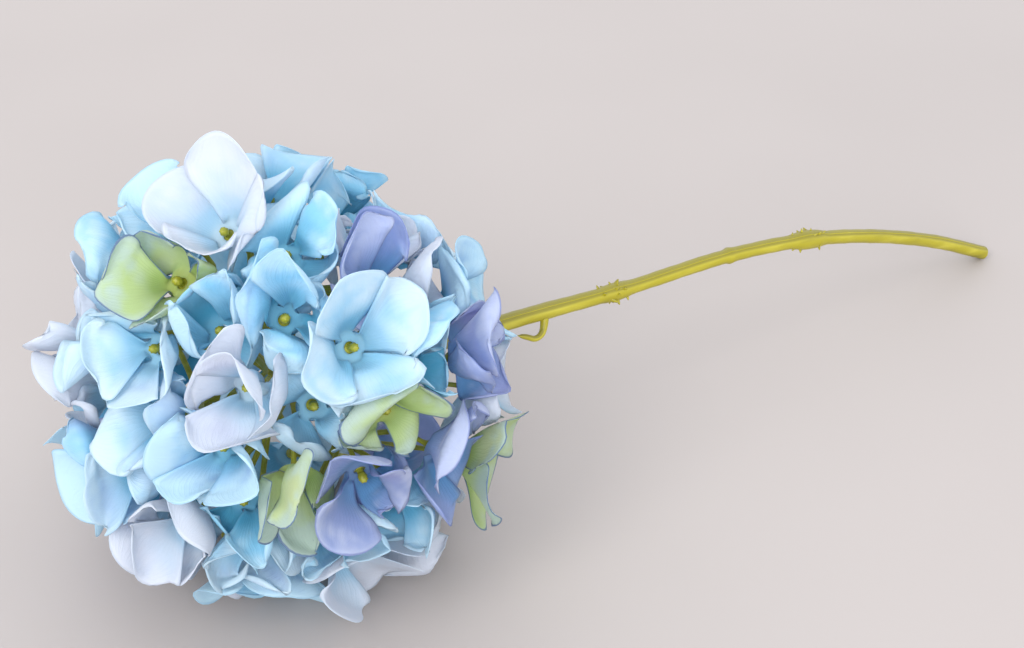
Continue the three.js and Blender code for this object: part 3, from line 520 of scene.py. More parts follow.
def wall_arrays(florets):
    """All florets' planes in arrays of one length, filled up with planes that are never reached."""
    lists = [walls_of(f, florets) for f in florets]
    most = max(len(walls) for walls in lists)
    normals = np.zeros((len(florets), most, 3))
    offsets = np.full((len(florets), most), OUT_OF_REACH)
    petal = np.full((len(florets), most), -1)
    shared = np.zeros((len(florets), most), bool)
    for i, walls in enumerate(lists):
        for w, wall in enumerate(walls):
            normals[i, w], offsets[i, w], petal[i, w], shared[i, w] = wall
    return normals, offsets, petal, shared


def keep_behind(points, owner, walls):
    """Moves every point of a petal back behind its floret's planes."""
    normals, offsets, petal, _ = walls
    for w in range(normals.shape[1]):
        beyond = np.einsum("fpc,fc->fp", points, normals[:, w]) - offsets[:, w, None]
        held = (owner >= 0) & ((petal[:, w, None] < 0) | (petal[:, w, None] == owner))
        beyond = np.where(held, np.maximum(beyond, 0), 0)
        points -= beyond[..., None] * normals[:, w, None]


def threads(triangles, owner):
    """Distances that the coarse fabric keeps: (a, b, firmness, only a least distance)."""
    found = {}
    opposite = {}
    for a, b, c in triangles:
        for p, q, r in ((a, b, c), (b, c, a), (c, a, b)):
            key = (min(p, q), max(p, q))
            found.setdefault(key, (p, q, 1, False))
            opposite.setdefault(key, []).append(r)
    for ends in opposite.values():
        if len(ends) == 2:
            found.setdefault((min(ends), max(ends)), (ends[0], ends[1], BEND_FIRMNESS, False))
    struts = [(a, b, STRUT_FIRMNESS, True) for a in range(len(owner)) for b in range(a)
              if owner[a] >= 0 and owner[a] == owner[b] and (b, a) not in found]
    return list(found.values()) + struts


def press(points, triangles, owner, walls):
    """Bends the coarse petals to keep behind their planes, and to hold their lengths where they can."""
    points = points.copy()
    moves = np.where(owner < 0, 0, 1)
    links = []
    for a, b, firmness, strut in threads(triangles, owner):
        weight = moves[a] + moves[b]
        if weight:
            rest = np.linalg.norm(points[:, b] - points[:, a], axis=1) * (LEAST_SPAN if strut else 1)
            links.append((a, b, firmness / weight, strut, rest))
    for _ in range(PRESSES):
        for a, b, share, strut, rest in links:
            pull = points[:, b] - points[:, a]
            length = np.sqrt((pull * pull).sum(axis=1))
            change = share * (length - rest) / length
            if strut:
                change = np.minimum(change, 0)
            pull *= change[:, None]
            if moves[a]:
                points[:, a] += pull
            if moves[b]:
                points[:, b] -= pull
        keep_behind(points, owner, walls)
    for _ in range(LAST_PRESSES):
        keep_behind(points, owner, walls)
    return points


def fine_grid():
    """Shares of the length and of the half width, and distances across, of the fine cloth's points.

    Its last row runs round the petal's tip.
    """
    level = np.linspace(0, 1, FINE_ROWS)[:, None]
    level[1] *= SECOND_ROW_AT
    side = np.linspace(-1, 1, FINE_COLUMNS)[None, :]

    def half_width(along):
        return width_of(along, HUB_RADIUS + (PETAL_LENGTH - HUB_RADIUS) * along, PETAL_HALF_WIDTH)[0]

    shares = np.linspace(TOP_ROW_AT, 1, 200)
    top = np.interp(-np.abs(side) * half_width(TOP_ROW_AT), -half_width(shares), shares)
    along = level * top
    across = side * half_width(level * TOP_ROW_AT)
    reach = np.maximum(half_width(along), np.abs(across))
    return along, across / np.maximum(reach, NEARLY_NOTHING), across


def blend_near_hub(along, blades, arcs):
    """The petal's root is a part of a ring, and further out it is a blade."""
    share = smoothstep(along, *ARC_BETWEEN)[..., None]
    return arcs * (1 - share) + blades * share


def plate_weights(known, wanted):
    """How much each known point counts at each wanted one, as a thin plate bends between pins."""
    def kernel(a, b):
        gap = np.linalg.norm(a[:, None] - b[None], axis=-1)
        return np.where(gap > 0, gap * gap * np.log(np.maximum(gap, NEARLY_NOTHING)), 0)

    n = len(known)
    plane = np.hstack([np.ones((n, 1)), known])
    system = np.zeros((n + 3, n + 3))
    system[:n, :n] = kernel(known, known) + LAYING_SOFTNESS * np.eye(n)
    system[:n, n:] = plane
    system[n:, :n] = plane.T
    reach = np.hstack([kernel(wanted, known), np.ones((len(wanted), 1)), wanted])
    return (reach @ np.linalg.inv(system))[:, :n]


def fine_petals(florets, petals, coarse_rest, coarse_pressed):
    """The fine cloth at rest, and laid over the pressed coarse points.

    Both are arrays of florets, petals, rows and columns.
    """
    along, side, across = fine_grid()
    spin = np.radians([f["spin"] for f in florets])[:, None, None, None]
    quarter = (np.arange(PETALS) * 2 * np.pi / PETALS)[:, None, None]
    angle = spin + quarter + side * np.pi / PETALS
    radius = HUB_RADIUS + (PETAL_LENGTH - HUB_RADIUS) * along
    arcs = np.stack([radius * np.cos(angle), radius * np.sin(angle), np.zeros_like(angle)], axis=-1)
    full = dict(petals, length=petals["length"] * FINE_LENGTH,
                half_width=petals["half_width"] * FINE_WIDTH)
    blades = petal_points(full, along.ravel(), side.ravel(), FINE_SPREAD).reshape(arcs.shape)
    rest = to_head(florets, blend_near_hub(along, blades, arcs))

    run = PETAL_LENGTH - HUB_RADIUS
    flat_blade = np.stack([HUB_RADIUS + run * along, across], axis=-1)
    flat_arc = np.stack([radius * np.cos(side * np.pi / 4), radius * np.sin(side * np.pi / 4)], axis=-1)
    flat = blend_near_hub(along, flat_blade, flat_arc).reshape(-1, 2)
    still = [(HUB_RADIUS, -45), (HUB_RADIUS, 0), (HUB_RADIUS, 45)]
    still += [(NOTCH_RADIUS, -45), (NOTCH_RADIUS, 45)]
    pins = [(r * math.cos(math.radians(a)), r * math.sin(math.radians(a))) for r, a in still]
    for a, s in COARSE_GRID:
        out = HUB_RADIUS + run * a
        pins.append((out, s * float(width_of(np.array(a), out, PETAL_HALF_WIDTH)[0])))
    weights = plate_weights(np.array(pins), flat)
    moved = (coarse_pressed - coarse_rest)[:, RING_POINTS:]
    moved = moved.reshape(len(florets), PETALS, len(COARSE_GRID), 3)
    unmoved = np.zeros((len(florets), PETALS, len(still), 3))
    shift = np.einsum("wn,fknc->fkwc", weights, np.concatenate([unmoved, moved], axis=2))
    return rest, rest + shift.reshape(rest.shape)


def ruffle(cloth, florets):
    """Small waves along the rim, to start its ruffles."""
    along, side, _ = fine_grid()
    at_sides = smoothstep(np.abs(side), RUFFLED_SIDE_FROM, 1) * along
    edge = np.maximum(smoothstep(along, RUFFLED_FROM, 1), at_sides)
    for i, floret in enumerate(florets):
        for k in range(PETALS):
            draws = [chance(floret["index"], k, which) for which in (41, 42, 43, 44)]
            tip_wave = np.sin(side * between(4, 7, draws[0]) + WHOLE_TURN * draws[1])
            side_wave = np.sin(along * between(9, 14, draws[2]) * np.sign(side) + WHOLE_TURN * draws[3])
            height = RUFFLE * edge * (tip_wave + side_wave)
            cloth[i, k] += grid_normals(cloth[i, k]) * height[..., None]


def grid_normals(grid):
    """Normals of grids of points, whose last three axes are rows, columns and coordinates."""
    down = np.gradient(grid, axis=-3)
    over = np.gradient(grid, axis=-2)
    return unit(np.cross(down, over))


def pull_pairs(cloth, first, second, rest, firmness):
    """Brings pairs of points to their distances. first and second pick the two sides of the pairs."""
    pull = cloth[second] - cloth[first]
    length = np.sqrt((pull * pull).sum(axis=-1))
    change = firmness / 2 * (length - rest) / np.maximum(length, NEARLY_NOTHING)
    pull *= change[..., None]
    cloth[first] += pull
    cloth[second] -= pull


def picked(start, step, count):
    """A slice of so many items, from start on, with this step."""
    return slice(start, start + (count - 1) * step + 1, step)


def cloth_links(rest, growth):
    """Slices that pair up neighbouring points of all petals' grids, with their distances.

    Each kind of pair comes in two halves, so that no point belongs to two pairs of one half.
    """
    rows, columns = rest.shape[2:4]
    links = []
    for row_step, column_step, firmness in (
            (1, 0, 1.0), (0, 1, 1.0), (1, 1, SLANT_FIRMNESS), (1, -1, SLANT_FIRMNESS)):
        for half in (0, 1):
            by_rows = row_step > 0
            first_row, row_stride = (half, 2) if by_rows else (0, 1)
            first_column = max(0, -column_step) + (0 if by_rows else half)
            column_stride = 1 if by_rows else 2
            row_count = len(range(first_row, rows - row_step, row_stride))
            last_column = columns - max(0, column_step)
            column_count = len(range(first_column, last_column, column_stride))
            a, b = (
                (slice(None), slice(None),
                 picked(first_row + down, row_stride, row_count),
                 picked(first_column + over, column_stride, column_count))
                for down, over in ((0, 0), (row_step, column_step)))
            span = np.linalg.norm(rest[b] - rest[a], axis=-1)
            links.append((a, b, span * (growth[a[2:]] + growth[b[2:]]) / 2, firmness))
    return links


def smooth(cloth, amount):
    """Evens out bends, more gently at the rim."""
    inner = cloth[:, :, 1:-1].copy()
    cloth[:, :, 1:-1] += amount * ((cloth[:, :, :-2] + cloth[:, :, 2:]) / 2 - inner)
    inner = cloth[:, :, :, 1:-1].copy()
    cloth[:, :, :, 1:-1] += amount * ((cloth[:, :, :, :-2] + cloth[:, :, :, 2:]) / 2 - inner)


def relax(cloth, rest, walls):
    """Lets the fine cloth settle between its planes, with its root held."""
    along, side, _ = fine_grid()
    normals, offsets, petal, shared = walls
    offsets = np.where(shared, offsets + CLEARANCE - FINE_CLEARANCE, offsets)
    offsets[:, 0] += (SHEET - FINE_SHEET) / 2
    walls = (normals, offsets, petal, shared)
    at_sides = smoothstep(np.abs(side), GROWN_FROM, 1) * smoothstep(along, *GROWN_SIDE_BETWEEN)
    rim = np.maximum(smoothstep(along, GROWN_FROM, 1), at_sides)
    links = cloth_links(rest, 1 + EDGE_GROWTH * rim)
    root = cloth[:, :, :HELD_ROWS].copy()
    florets, petals, rows, columns, _ = cloth.shape
    owner = np.repeat(np.arange(petals), rows * columns)
    held = np.tile(np.repeat(np.arange(rows) < HELD_ROWS, columns), petals)
    owner = np.where(held, -1, owner)
    for step in range(FINE_PRESSES):
        for first, second, span, firmness in links:
            pull_pairs(cloth, first, second, span, firmness)
        smooth(cloth, SMOOTHING if step < FINE_PRESSES - LATE_PRESSES else LATE_SMOOTHING)
        cloth[:, :, :HELD_ROWS] = root
        flat = cloth.reshape(florets, -1, 3)
        keep_behind(flat, owner, walls)
        cloth = flat.reshape(cloth.shape)
    for _ in range(LAST_SMOOTHINGS):
        smooth(cloth, CREASE_SMOOTHING)
        cloth[:, :, :HELD_ROWS] = root
    cloth[..., 2] = np.maximum(cloth[..., 2], FINE_SHEET / 2 + TABLE_GAP)
    return cloth


def weld_roots(cloth):
    """Neighbouring petals share the ends of the rows that are held."""
    for k in range(PETALS):
        after = (k + 1) % PETALS
        middle = (cloth[:, k, :HELD_ROWS, -1] + cloth[:, after, :HELD_ROWS, 0]) / 2
        cloth[:, k, :HELD_ROWS, -1] = middle
        cloth[:, after, :HELD_ROWS, 0] = middle


class FloretTopology:
    """What the meshes of all florets share.

    around is the number of points in a ring of the disc, grid the points' numbers in each petal's rows,
    and count how many there are. faces are quads, rim the edges that have a face on one side only, and
    edge how far each point of a petal lies from the petal's own edge or, where they are nearer, from
    two straight lines across it: one between the ends of the last row, and one from an end of that row
    to the root of the other side.
    """

    def __init__(self):
        rows, columns = FINE_ROWS, FINE_COLUMNS
        around = (columns - 1) * PETALS
        self.around = around
        count = DISC_RINGS * around
        last_ring = count - around
        grid = np.zeros((PETALS, rows, columns), int)
        for k in range(PETALS):
            for i in range(rows):
                for j in range(columns):
                    if i < HELD_ROWS and j == columns - 1:
                        continue
                    if i == 0:
                        grid[k, i, j] = last_ring + k * (columns - 1) + j
                        continue
                    grid[k, i, j] = count
                    count += 1
            grid[k, 0, columns - 1] = last_ring + ((k + 1) * (columns - 1)) % around
        for k in range(PETALS):
            grid[k, 1, columns - 1] = grid[(k + 1) % PETALS, 1, 0]
        self.grid = grid
        self.count = count
        faces = []
        for r in range(DISC_RINGS - 1):
            for j in range(around):
                a, b = r * around + j, r * around + (j + 1) % around
                faces.append((a, a + around, b + around, b))
        for k in range(PETALS):
            g = grid[k]
            for i in range(rows - 1):
                for j in range(columns - 1):
                    faces.append((g[i, j], g[i + 1, j], g[i + 1, j + 1], g[i, j + 1]))
        self.faces = np.array(faces)
        edges = {}
        for face in faces:
            for a, b in zip(face, face[1:] + face[:1]):
                edges.setdefault((min(a, b), max(a, b)), []).append((a, b))
        self.rim = np.array([ends[0] for ends in edges.values() if len(ends) == 1])
        along, _, across = fine_grid()
        flat = np.stack([along * (PETAL_LENGTH - HUB_RADIUS), across], axis=-1)
        border = np.concatenate([flat[2:, 0], flat[2:, -1], flat[-1]])
        steps = np.linspace(0, 1, EDGE_STEPS)[:, None, None]
        border = (border[:-1] * (1 - steps) + border[1:] * steps).reshape(-1, 2)
        self.edge = np.linalg.norm(flat[:, :, None] - border, axis=-1).min(axis=-1)


def floret_sheet(topology, floret, cloth):
    """Middle points of one floret, with what its dye and veins follow: along, side, edge and tone."""
    points = np.zeros((topology.count, 3))
    along = np.zeros(topology.count)
    side = np.zeros(topology.count)
    edge = np.full(topology.count, FAR_FROM_EDGE)
    tone = np.zeros(topology.count)
    tones = [chance(floret["index"], k, 51) for k in range(PETALS)]
    shares = np.arange(topology.around) / topology.around - 0.5 / PETALS
    for r, radius in enumerate(np.linspace(HOLE_RADIUS, HUB_RADIUS, DISC_RINGS)):
        here = slice(r * topology.around, (r + 1) * topology.around)
        points[here] = ring([floret], radius, shares)[0]
        tone[here] = np.repeat(tones, FINE_COLUMNS - 1)
    fine_along, fine_side, _ = fine_grid()
    for k in range(PETALS):
        index = topology.grid[k]
        points[index[1:]] = cloth[k, 1:]
        along[index[1:]] = fine_along[1:]
        side[index[1:]] = fine_side[1:]
        edge[index[1:]] = topology.edge[1:]
        tone[index[1:]] = tones[k]
    return points, along, side, edge, tone


def set_values(mesh, label, values):
    """Gives each point of a mesh a number, under a name."""
    layer = mesh.attributes.new(label, "FLOAT", "POINT")
    layer.data.foreach_set("value", np.asarray(values, np.float32))


def floret_mesh(name, topology, floret, cloth):
    """A closed thin shell: both faces of the sheet, joined round its rim."""
    points, along, side, edge, tone = floret_sheet(topology, floret, cloth)
    faces = topology.faces
    corners = points[faces]
    face_normals = np.cross(corners[:, 2] - corners[:, 0], corners[:, 3] - corners[:, 1])
    normals = np.zeros_like(points)
    for c in range(4):
        np.add.at(normals, faces[:, c], face_normals)
    normals = unit(normals)
    upper = points + normals * FINE_SHEET / 2
    lower = points - normals * FINE_SHEET / 2
    positions = placed(np.vstack([upper, lower]))
    n = topology.count
    a, b = topology.rim[:, 0], topology.rim[:, 1]
    rim = np.stack([b, a, a + n, b + n], axis=1)
    quads = np.vstack([faces, faces[:, ::-1] + n, rim])
    mesh = bpy.data.meshes.new(name)
    mesh.from_pydata(positions.tolist(), [], quads.tolist())
    for label, values in (("along", along), ("side", side), ("edge", edge), ("tone", tone)):
        set_values(mesh, label, np.tile(values, 2))
    uv = mesh.uv_layers.new(name="petal_map")
    loops = quads.ravel()
    shares = np.stack([np.tile(side, 2)[loops] * 0.5 + 0.5, np.tile(along, 2)[loops]], axis=1)
    uv.data.foreach_set("uv", shares.ravel().astype(np.float32))
    mesh.shade_smooth()
    mesh.update()
    return mesh


def linked(name, data):
    """A new object of a mesh, a lamp or a camera, in the scene."""
    piece = bpy.data.objects.new(name, data)
    bpy.context.scene.collection.objects.link(piece)
    return piece


def placed(points):
    """Millimetres of the flower's own making, as metres in the frame."""
    return (np.asarray(points) + FOOTPRINT_SHIFT) * MM


# Growing with Geometry Nodes
class Tree:
    """A node tree that is built up by name, for geometry or for shading."""

    def __init__(self, name, kind):
        self.tree = bpy.data.node_groups.new(name, kind)
        self.start = self.tree.nodes.new("NodeGroupInput")
        self.end = self.tree.nodes.new("NodeGroupOutput")

    def takes(self, name, kind, value=None):
        socket = self.tree.interface.new_socket(name, in_out="INPUT", socket_type=kind)
        if value is not None:
            socket.default_value = value

    def gives(self, name, kind):
        self.tree.interface.new_socket(name, in_out="OUTPUT", socket_type=kind)

    def node(self, kind, settings=None, **inputs):
        return add_node(self.tree, kind, settings, **inputs)

    def given(self, name):
        return self.start.outputs[name]

    def out(self, name, source):
        self.tree.links.new(source, self.end.inputs[name])


def add_node(tree, kind, settings=None, **inputs):
    """Adds a node. Inputs are named, or i0, i1 by place; each is a value or another node's output."""
    node = tree.nodes.new(kind)
    for key, value in (settings or {}).items():
        setattr(node, key, value)
    for key, value in inputs.items():
        by_place = key[0] == "i" and key[1:].isdigit()
        socket = node.inputs[int(key[1:]) if by_place else key.replace("_", " ")]
        if isinstance(value, bpy.types.NodeSocket):
            tree.links.new(value, socket)
        else:
            socket.default_value = value
    return node


def sweep_tree():
    """Round rods along guide lines, as thick as the guides say."""
    t = Tree("rods along guides", "GeometryNodeTree")
    t.takes("Guides", "NodeSocketGeometry")
    t.takes("Sides", "NodeSocketInt", 12)
    t.takes("Finish", "NodeSocketMaterial")
    t.gives("Rods", "NodeSocketGeometry")
    curve = t.node("GeometryNodeMeshToCurve", Mesh=t.given("Guides"))
    thick = t.node("GeometryNodeInputNamedAttribute", {"data_type": "FLOAT"}, Name="thick")
    circle = t.node("GeometryNodeCurvePrimitiveCircle", Resolution=t.given("Sides"), Radius=1.0)
    rods = t.node("GeometryNodeCurveToMesh", Curve=curve.outputs[0], Profile_Curve=circle.outputs[0],
                  Scale=thick.outputs[0], Fill_Caps=True)
    real = t.node("GeometryNodeRealizeInstances", Geometry=rods.outputs[0])
    done = t.node("GeometryNodeSetMaterial", Geometry=real.outputs[0], Material=t.given("Finish"))
    t.out("Rods", done.outputs[0])
    return t.tree


def studs_tree():
    """One small shape again and again, at points that say where it faces and how big it is."""
    t = Tree("shapes at points", "GeometryNodeTree")
    t.takes("Places", "NodeSocketGeometry")
    t.takes("Shape", "NodeSocketObject")
    t.takes("Finish", "NodeSocketMaterial")
    t.gives("Studs", "NodeSocketGeometry")
    facing = t.node("GeometryNodeInputNamedAttribute", {"data_type": "FLOAT_VECTOR"}, Name="facing")
    turned = t.node("FunctionNodeAlignRotationToVector", {"axis": "Z"}, Vector=facing.outputs[0])
    size = t.node("GeometryNodeInputNamedAttribute", {"data_type": "FLOAT"}, Name="size")
    spin = t.node("GeometryNodeInputNamedAttribute", {"data_type": "FLOAT"}, Name="spin")
    about = t.node("ShaderNodeCombineXYZ", Z=spin.outputs[0])
    twist = t.node("FunctionNodeEulerToRotation", Euler=about.outputs[0])
    rotation = t.node("FunctionNodeRotateRotation", {"rotation_space": "LOCAL"},
                      Rotation=turned.outputs[0], Rotate_By=twist.outputs[0])
    shape = t.node("GeometryNodeObjectInfo", Object=t.given("Shape"))
    points = t.node("GeometryNodeMeshToPoints", Mesh=t.given("Places"))
    studs = t.node("GeometryNodeInstanceOnPoints", Points=points.outputs[0],
                   Instance=shape.outputs["Geometry"], Rotation=rotation.outputs[0],
                   Scale=size.outputs[0])
    real = t.node("GeometryNodeRealizeInstances", Geometry=studs.outputs[0])
    done = t.node("GeometryNodeSetMaterial", Geometry=real.outputs[0], Material=t.given("Finish"))
    t.out("Studs", done.outputs[0])
    return t.tree


def grown(tree, guide, **inputs):
    """What a tree makes of a guide mesh, as a plain mesh."""
    holder = linked("guide", guide)
    modifier = holder.modifiers.new("grow", "NODES")
    modifier.node_group = tree
    for item in tree.interface.items_tree:
        if item.item_type == "SOCKET" and item.in_out == "INPUT" and item.name in inputs:
            modifier[item.identifier] = inputs[item.name]
    depsgraph = bpy.context.evaluated_depsgraph_get()
    mesh = bpy.data.meshes.new_from_object(holder.evaluated_get(depsgraph))
    bpy.data.objects.remove(holder)
    return mesh


def guide_lines(lines):
    """A mesh of separate polylines. Each line is a list of (point, radius), in millimetres."""
    points, edges, thick = [], [], []
    for line in lines:
        first = len(points)
        for point, radius in line:
            points.append(point)
            thick.append(radius * MM)
        edges += [(first + n, first + n + 1) for n in range(len(line) - 1)]
    mesh = bpy.data.meshes.new("guides")
    mesh.from_pydata(placed(points).tolist(), edges, [])
    set_values(mesh, "thick", thick)
    return mesh


def guide_points(places):
    """A mesh of loose points. Each is (point, facing, size in millimetres, spin)."""
    points, facings, sizes, spins = zip(*places)
    mesh = bpy.data.meshes.new("places")
    mesh.from_pydata(placed(points).tolist(), [], [])
    facing = mesh.attributes.new("facing", "FLOAT_VECTOR", "POINT")
    facing.data.foreach_set("vector", np.array(facings, np.float32).ravel())
    set_values(mesh, "size", np.array(sizes) * MM)
    set_values(mesh, "spin", spins)
    return mesh


def joined(name, meshes):
    """One object of several meshes."""
    base = linked(name, meshes[0])
    others = [linked(name + "_more", mesh) for mesh in meshes[1:]]
    with bpy.context.temp_override(active_object=base, selected_editable_objects=[base, *others],
                                   selected_objects=[base, *others], object=base):
        bpy.ops.object.join()
    base.data.name = name
    base.data.shade_smooth()
    return base


# Finishes
def linear(colour):
    """A colour written as six hexadecimal digits, as Blender's shaders take it."""
    parts = [int(colour[i:i + 2], 16) / 255 for i in (0, 2, 4)]
    return tuple(c / 12.92 if c <= 0.04045 else ((c + 0.055) / 1.055) ** 2.4 for c in parts) + (1,)


def sums(t, operation, *values):
    """One step of arithmetic."""
    inputs = {f"i{n}": value for n, value in enumerate(values)}
    return t.node("ShaderNodeMath", {"operation": operation}, **inputs).outputs[0]


def ramp(t, value, low, high):
    """0 at low and before it, 1 at high and beyond it, and smooth between. Low may be the larger."""
    return t.node("ShaderNodeMapRange", {"interpolation_type": "SMOOTHSTEP"},
                  Value=value, From_Min=low, From_Max=high).outputs[0]


def noise(t, spot, scale, detail):
    """Cloudy values round 0.5, with about so many clouds to a metre."""
    return t.node("ShaderNodeTexNoise", Vector=spot, Scale=scale, Detail=detail).outputs[0]


def blend_colours(t, share, first, second):
    """The first colour, and the second in its place where the share is 1."""
    return t.node("ShaderNodeMix", {"data_type": "RGBA"}, i0=share, i6=first, i7=second).outputs[2]


def dye_and_shade_group():
    """Colour of a dyed petal: throat, blade and rim run into one another, with a line round the edge.
    The throat's deeper tone is partly dye and partly painted shade of the floret's hollow.
    """
    t = Tree("petal dye and painted shade", "ShaderNodeTree")
    t.takes("Along", "NodeSocketFloat")
    t.takes("Edge", "NodeSocketFloat")
    t.takes("Tone", "NodeSocketFloat")
    for name in ("Centre", "Throat", "Blade", "Rim", "Line", "Blush"):
        t.takes(name, "NodeSocketColor")
    t.takes("Rim width", "NodeSocketFloat", 7.0)
    t.takes("Line width", "NodeSocketFloat", 0.5)
    t.takes("Line strength", "NodeSocketFloat", 0.5)
    t.takes("Throat reach", "NodeSocketFloat", 0.5)
    t.takes("Blush share", "NodeSocketFloat", 0.5)
    t.gives("Colour", "NodeSocketColor")
    along, edge, tone = t.given("Along"), t.given("Edge"), t.given("Tone")
    spot = t.node("ShaderNodeTexCoord").outputs["Object"]
    streak = sums(t, "SUBTRACT", noise(t, spot, 85.0, 3.0), 0.5)
    reach = sums(t, "MULTIPLY_ADD", streak, 0.5, along)
    lift = sums(t, "MULTIPLY_ADD", sums(t, "SUBTRACT", tone, 0.5), 0.5, reach)
    # Painted shade: the throat's deeper tone is partly dye and partly the shade of the floret's hollow.
    colour = blend_colours(t, ramp(t, along, 0.0, 0.22), t.given("Centre"), t.given("Throat"))
    colour = blend_colours(t, ramp(t, lift, 0.04, t.given("Throat reach")), colour, t.given("Blade"))
    drift = noise(t, spot, 26.0, 1.0)
    blushed = sums(t, "MULTIPLY", ramp(t, drift, 0.46, 0.72), ramp(t, along, 0.1, 0.6))
    blushed = sums(t, "MULTIPLY", blushed, t.given("Blush share"))
    colour = blend_colours(t, blushed, colour, t.given("Blush"))
    wander = sums(t, "MULTIPLY_ADD", streak, 9.0, edge)
    wander = sums(t, "MULTIPLY_ADD", sums(t, "SUBTRACT", 0.5, tone), 6.0, wander)
    inner = ramp(t, wander, 0.0, t.given("Rim width"))
    pale = sums(t, "MULTIPLY", sums(t, "SUBTRACT", 1.0, inner), ramp(t, along, 0.25, 0.6))
    colour = blend_colours(t, pale, colour, t.given("Rim"))
    ragged = sums(t, "MULTIPLY_ADD", streak, 0.9, edge)
    off_line = ramp(t, ragged, 0.1, t.given("Line width"))
    line = sums(t, "MULTIPLY", sums(t, "SUBTRACT", 1.0, off_line), t.given("Line strength"))
    colour = blend_colours(t, line, colour, t.given("Line"))
    t.out("Colour", colour)
    return t.tree


def vein_group():
    """Height of the veins pressed into a petal, which fan out from its root."""
    t = Tree("pressed veins", "ShaderNodeTree")
    t.takes("Along", "NodeSocketFloat")
    t.takes("Side", "NodeSocketFloat")
    t.takes("Count", "NodeSocketFloat", 9.0)
    t.gives("Height", "NodeSocketFloat")
    spot = t.node("ShaderNodeTexCoord").outputs["Object"]
    bent = sums(t, "MULTIPLY_ADD", noise(t, spot, 160.0, 2.0), 0.22, t.given("Side"))
    coarse = sums(t, "SINE", sums(t, "MULTIPLY", bent, sums(t, "MULTIPLY", t.given("Count"), 3.1416)))
    fine = sums(t, "SINE", sums(t, "MULTIPLY", bent, sums(t, "MULTIPLY", t.given("Count"), 8.0)))
    ridges = sums(t, "POWER", sums(t, "ABSOLUTE", coarse), 6.0)
    twigs = sums(t, "MULTIPLY", sums(t, "POWER", sums(t, "ABSOLUTE", fine), 8.0), 0.5)
    outer = ramp(t, t.given("Along"), 0.35, 0.7)
    height = sums(t, "MULTIPLY_ADD", twigs, outer, ridges)
    height = sums(t, "MULTIPLY", height, ramp(t, t.given("Along"), 0.05, 0.25))
    t.out("Height", height)
    return t.tree


def weave_group():
    """Height of the fine plain weave, in threads that run along the petal and across it."""
    t = Tree("fine weave", "ShaderNodeTree")
    t.takes("Threads", "NodeSocketFloat", 120.0)
    t.gives("Height", "NodeSocketFloat")
    flat = t.node("ShaderNodeUVMap", {"uv_map": "petal_map"}).outputs[0]
    along, over = (
        t.node("ShaderNodeTexWave", {"bands_direction": way}, Vector=flat, Scale=t.given("Threads"),
               Distortion=0.6, Detail=1.0).outputs["Fac"]
        for way in ("X", "Y"))
    t.out("Height", sums(t, "MULTIPLY", along, over))
    return t.tree


class Finish:
    """A material whose nodes are added by name."""

    def __init__(self, name):
        self.material = bpy.data.materials.new(name)
        self.material.use_nodes = True
        self.tree = self.material.node_tree
        self.principled = self.tree.nodes["Principled BSDF"]
        self.output = self.tree.nodes["Material Output"]

    def node(self, kind, settings=None, **inputs):
        return add_node(self.tree, kind, settings, **inputs)

    def group(self, tree, **inputs):
        return self.node("ShaderNodeGroup", {"node_tree": tree}, **inputs)

    def feed(self, name, source):
        self.tree.links.new(source, self.principled.inputs[name])

    def keep(self, **values):
        """Sets inputs of the surface that are the same all over."""
        for name, value in values.items():
            self.principled.inputs[name.replace("_", " ")].default_value = value

    def emboss(self, height, strength, depth):
        """Lets a height show: depth is one unit of it in metres. Returns the normal."""
        bump = self.node("ShaderNodeBump", Strength=strength, Distance=depth, Height=height)
        self.feed("Normal", bump.outputs[0])
        return bump.outputs[0]


def petal_finish(tint, dyes, groups):
    """Thin dyed fabric that lets light through, with painted shade in its throat."""
    finish = Finish("petal fabric, " + tint)
    along, side, edge, tone = (
        finish.node("ShaderNodeAttribute", {"attribute_name": name}).outputs["Fac"]
        for name in ("along", "side", "edge", "tone"))
    names = ("centre", "throat", "blade", "rim", "line", "blush")
    colours = {name.capitalize(): linear(dyes[name]) for name in names}
    # The dye's colour, with painted shade in the throat.
    dye = finish.group(groups["dye"], Along=along, Edge=edge, Tone=tone, **colours,
                       Rim_width=dyes["rim_width"], Line_strength=dyes["line_strength"],
                       Throat_reach=dyes["throat_reach"]).outputs["Colour"]
    finish.feed("Base Color", dye)
    finish.keep(Roughness=0.78, Specular_IOR_Level=0.25, Sheen_Weight=0.2, Sheen_Roughness=0.5)
    veins = finish.group(groups["veins"], Along=along, Side=side, Count=dyes["veins"]).outputs["Height"]
    weave = finish.group(groups["weave"]).outputs["Height"]
    normal = finish.emboss(sums(finish, "MULTIPLY_ADD", weave, 0.12, veins), 0.22, 0.0004)
    through = finish.node("ShaderNodeBsdfTranslucent", Color=dye, Normal=normal)
    mixed = finish.node("ShaderNodeMixShader", Fac=THROUGH, i1=finish.principled.outputs[0],
                        i2=through.outputs[0])
    finish.tree.links.new(mixed.outputs[0], finish.output.inputs["Surface"])
    return finish.material


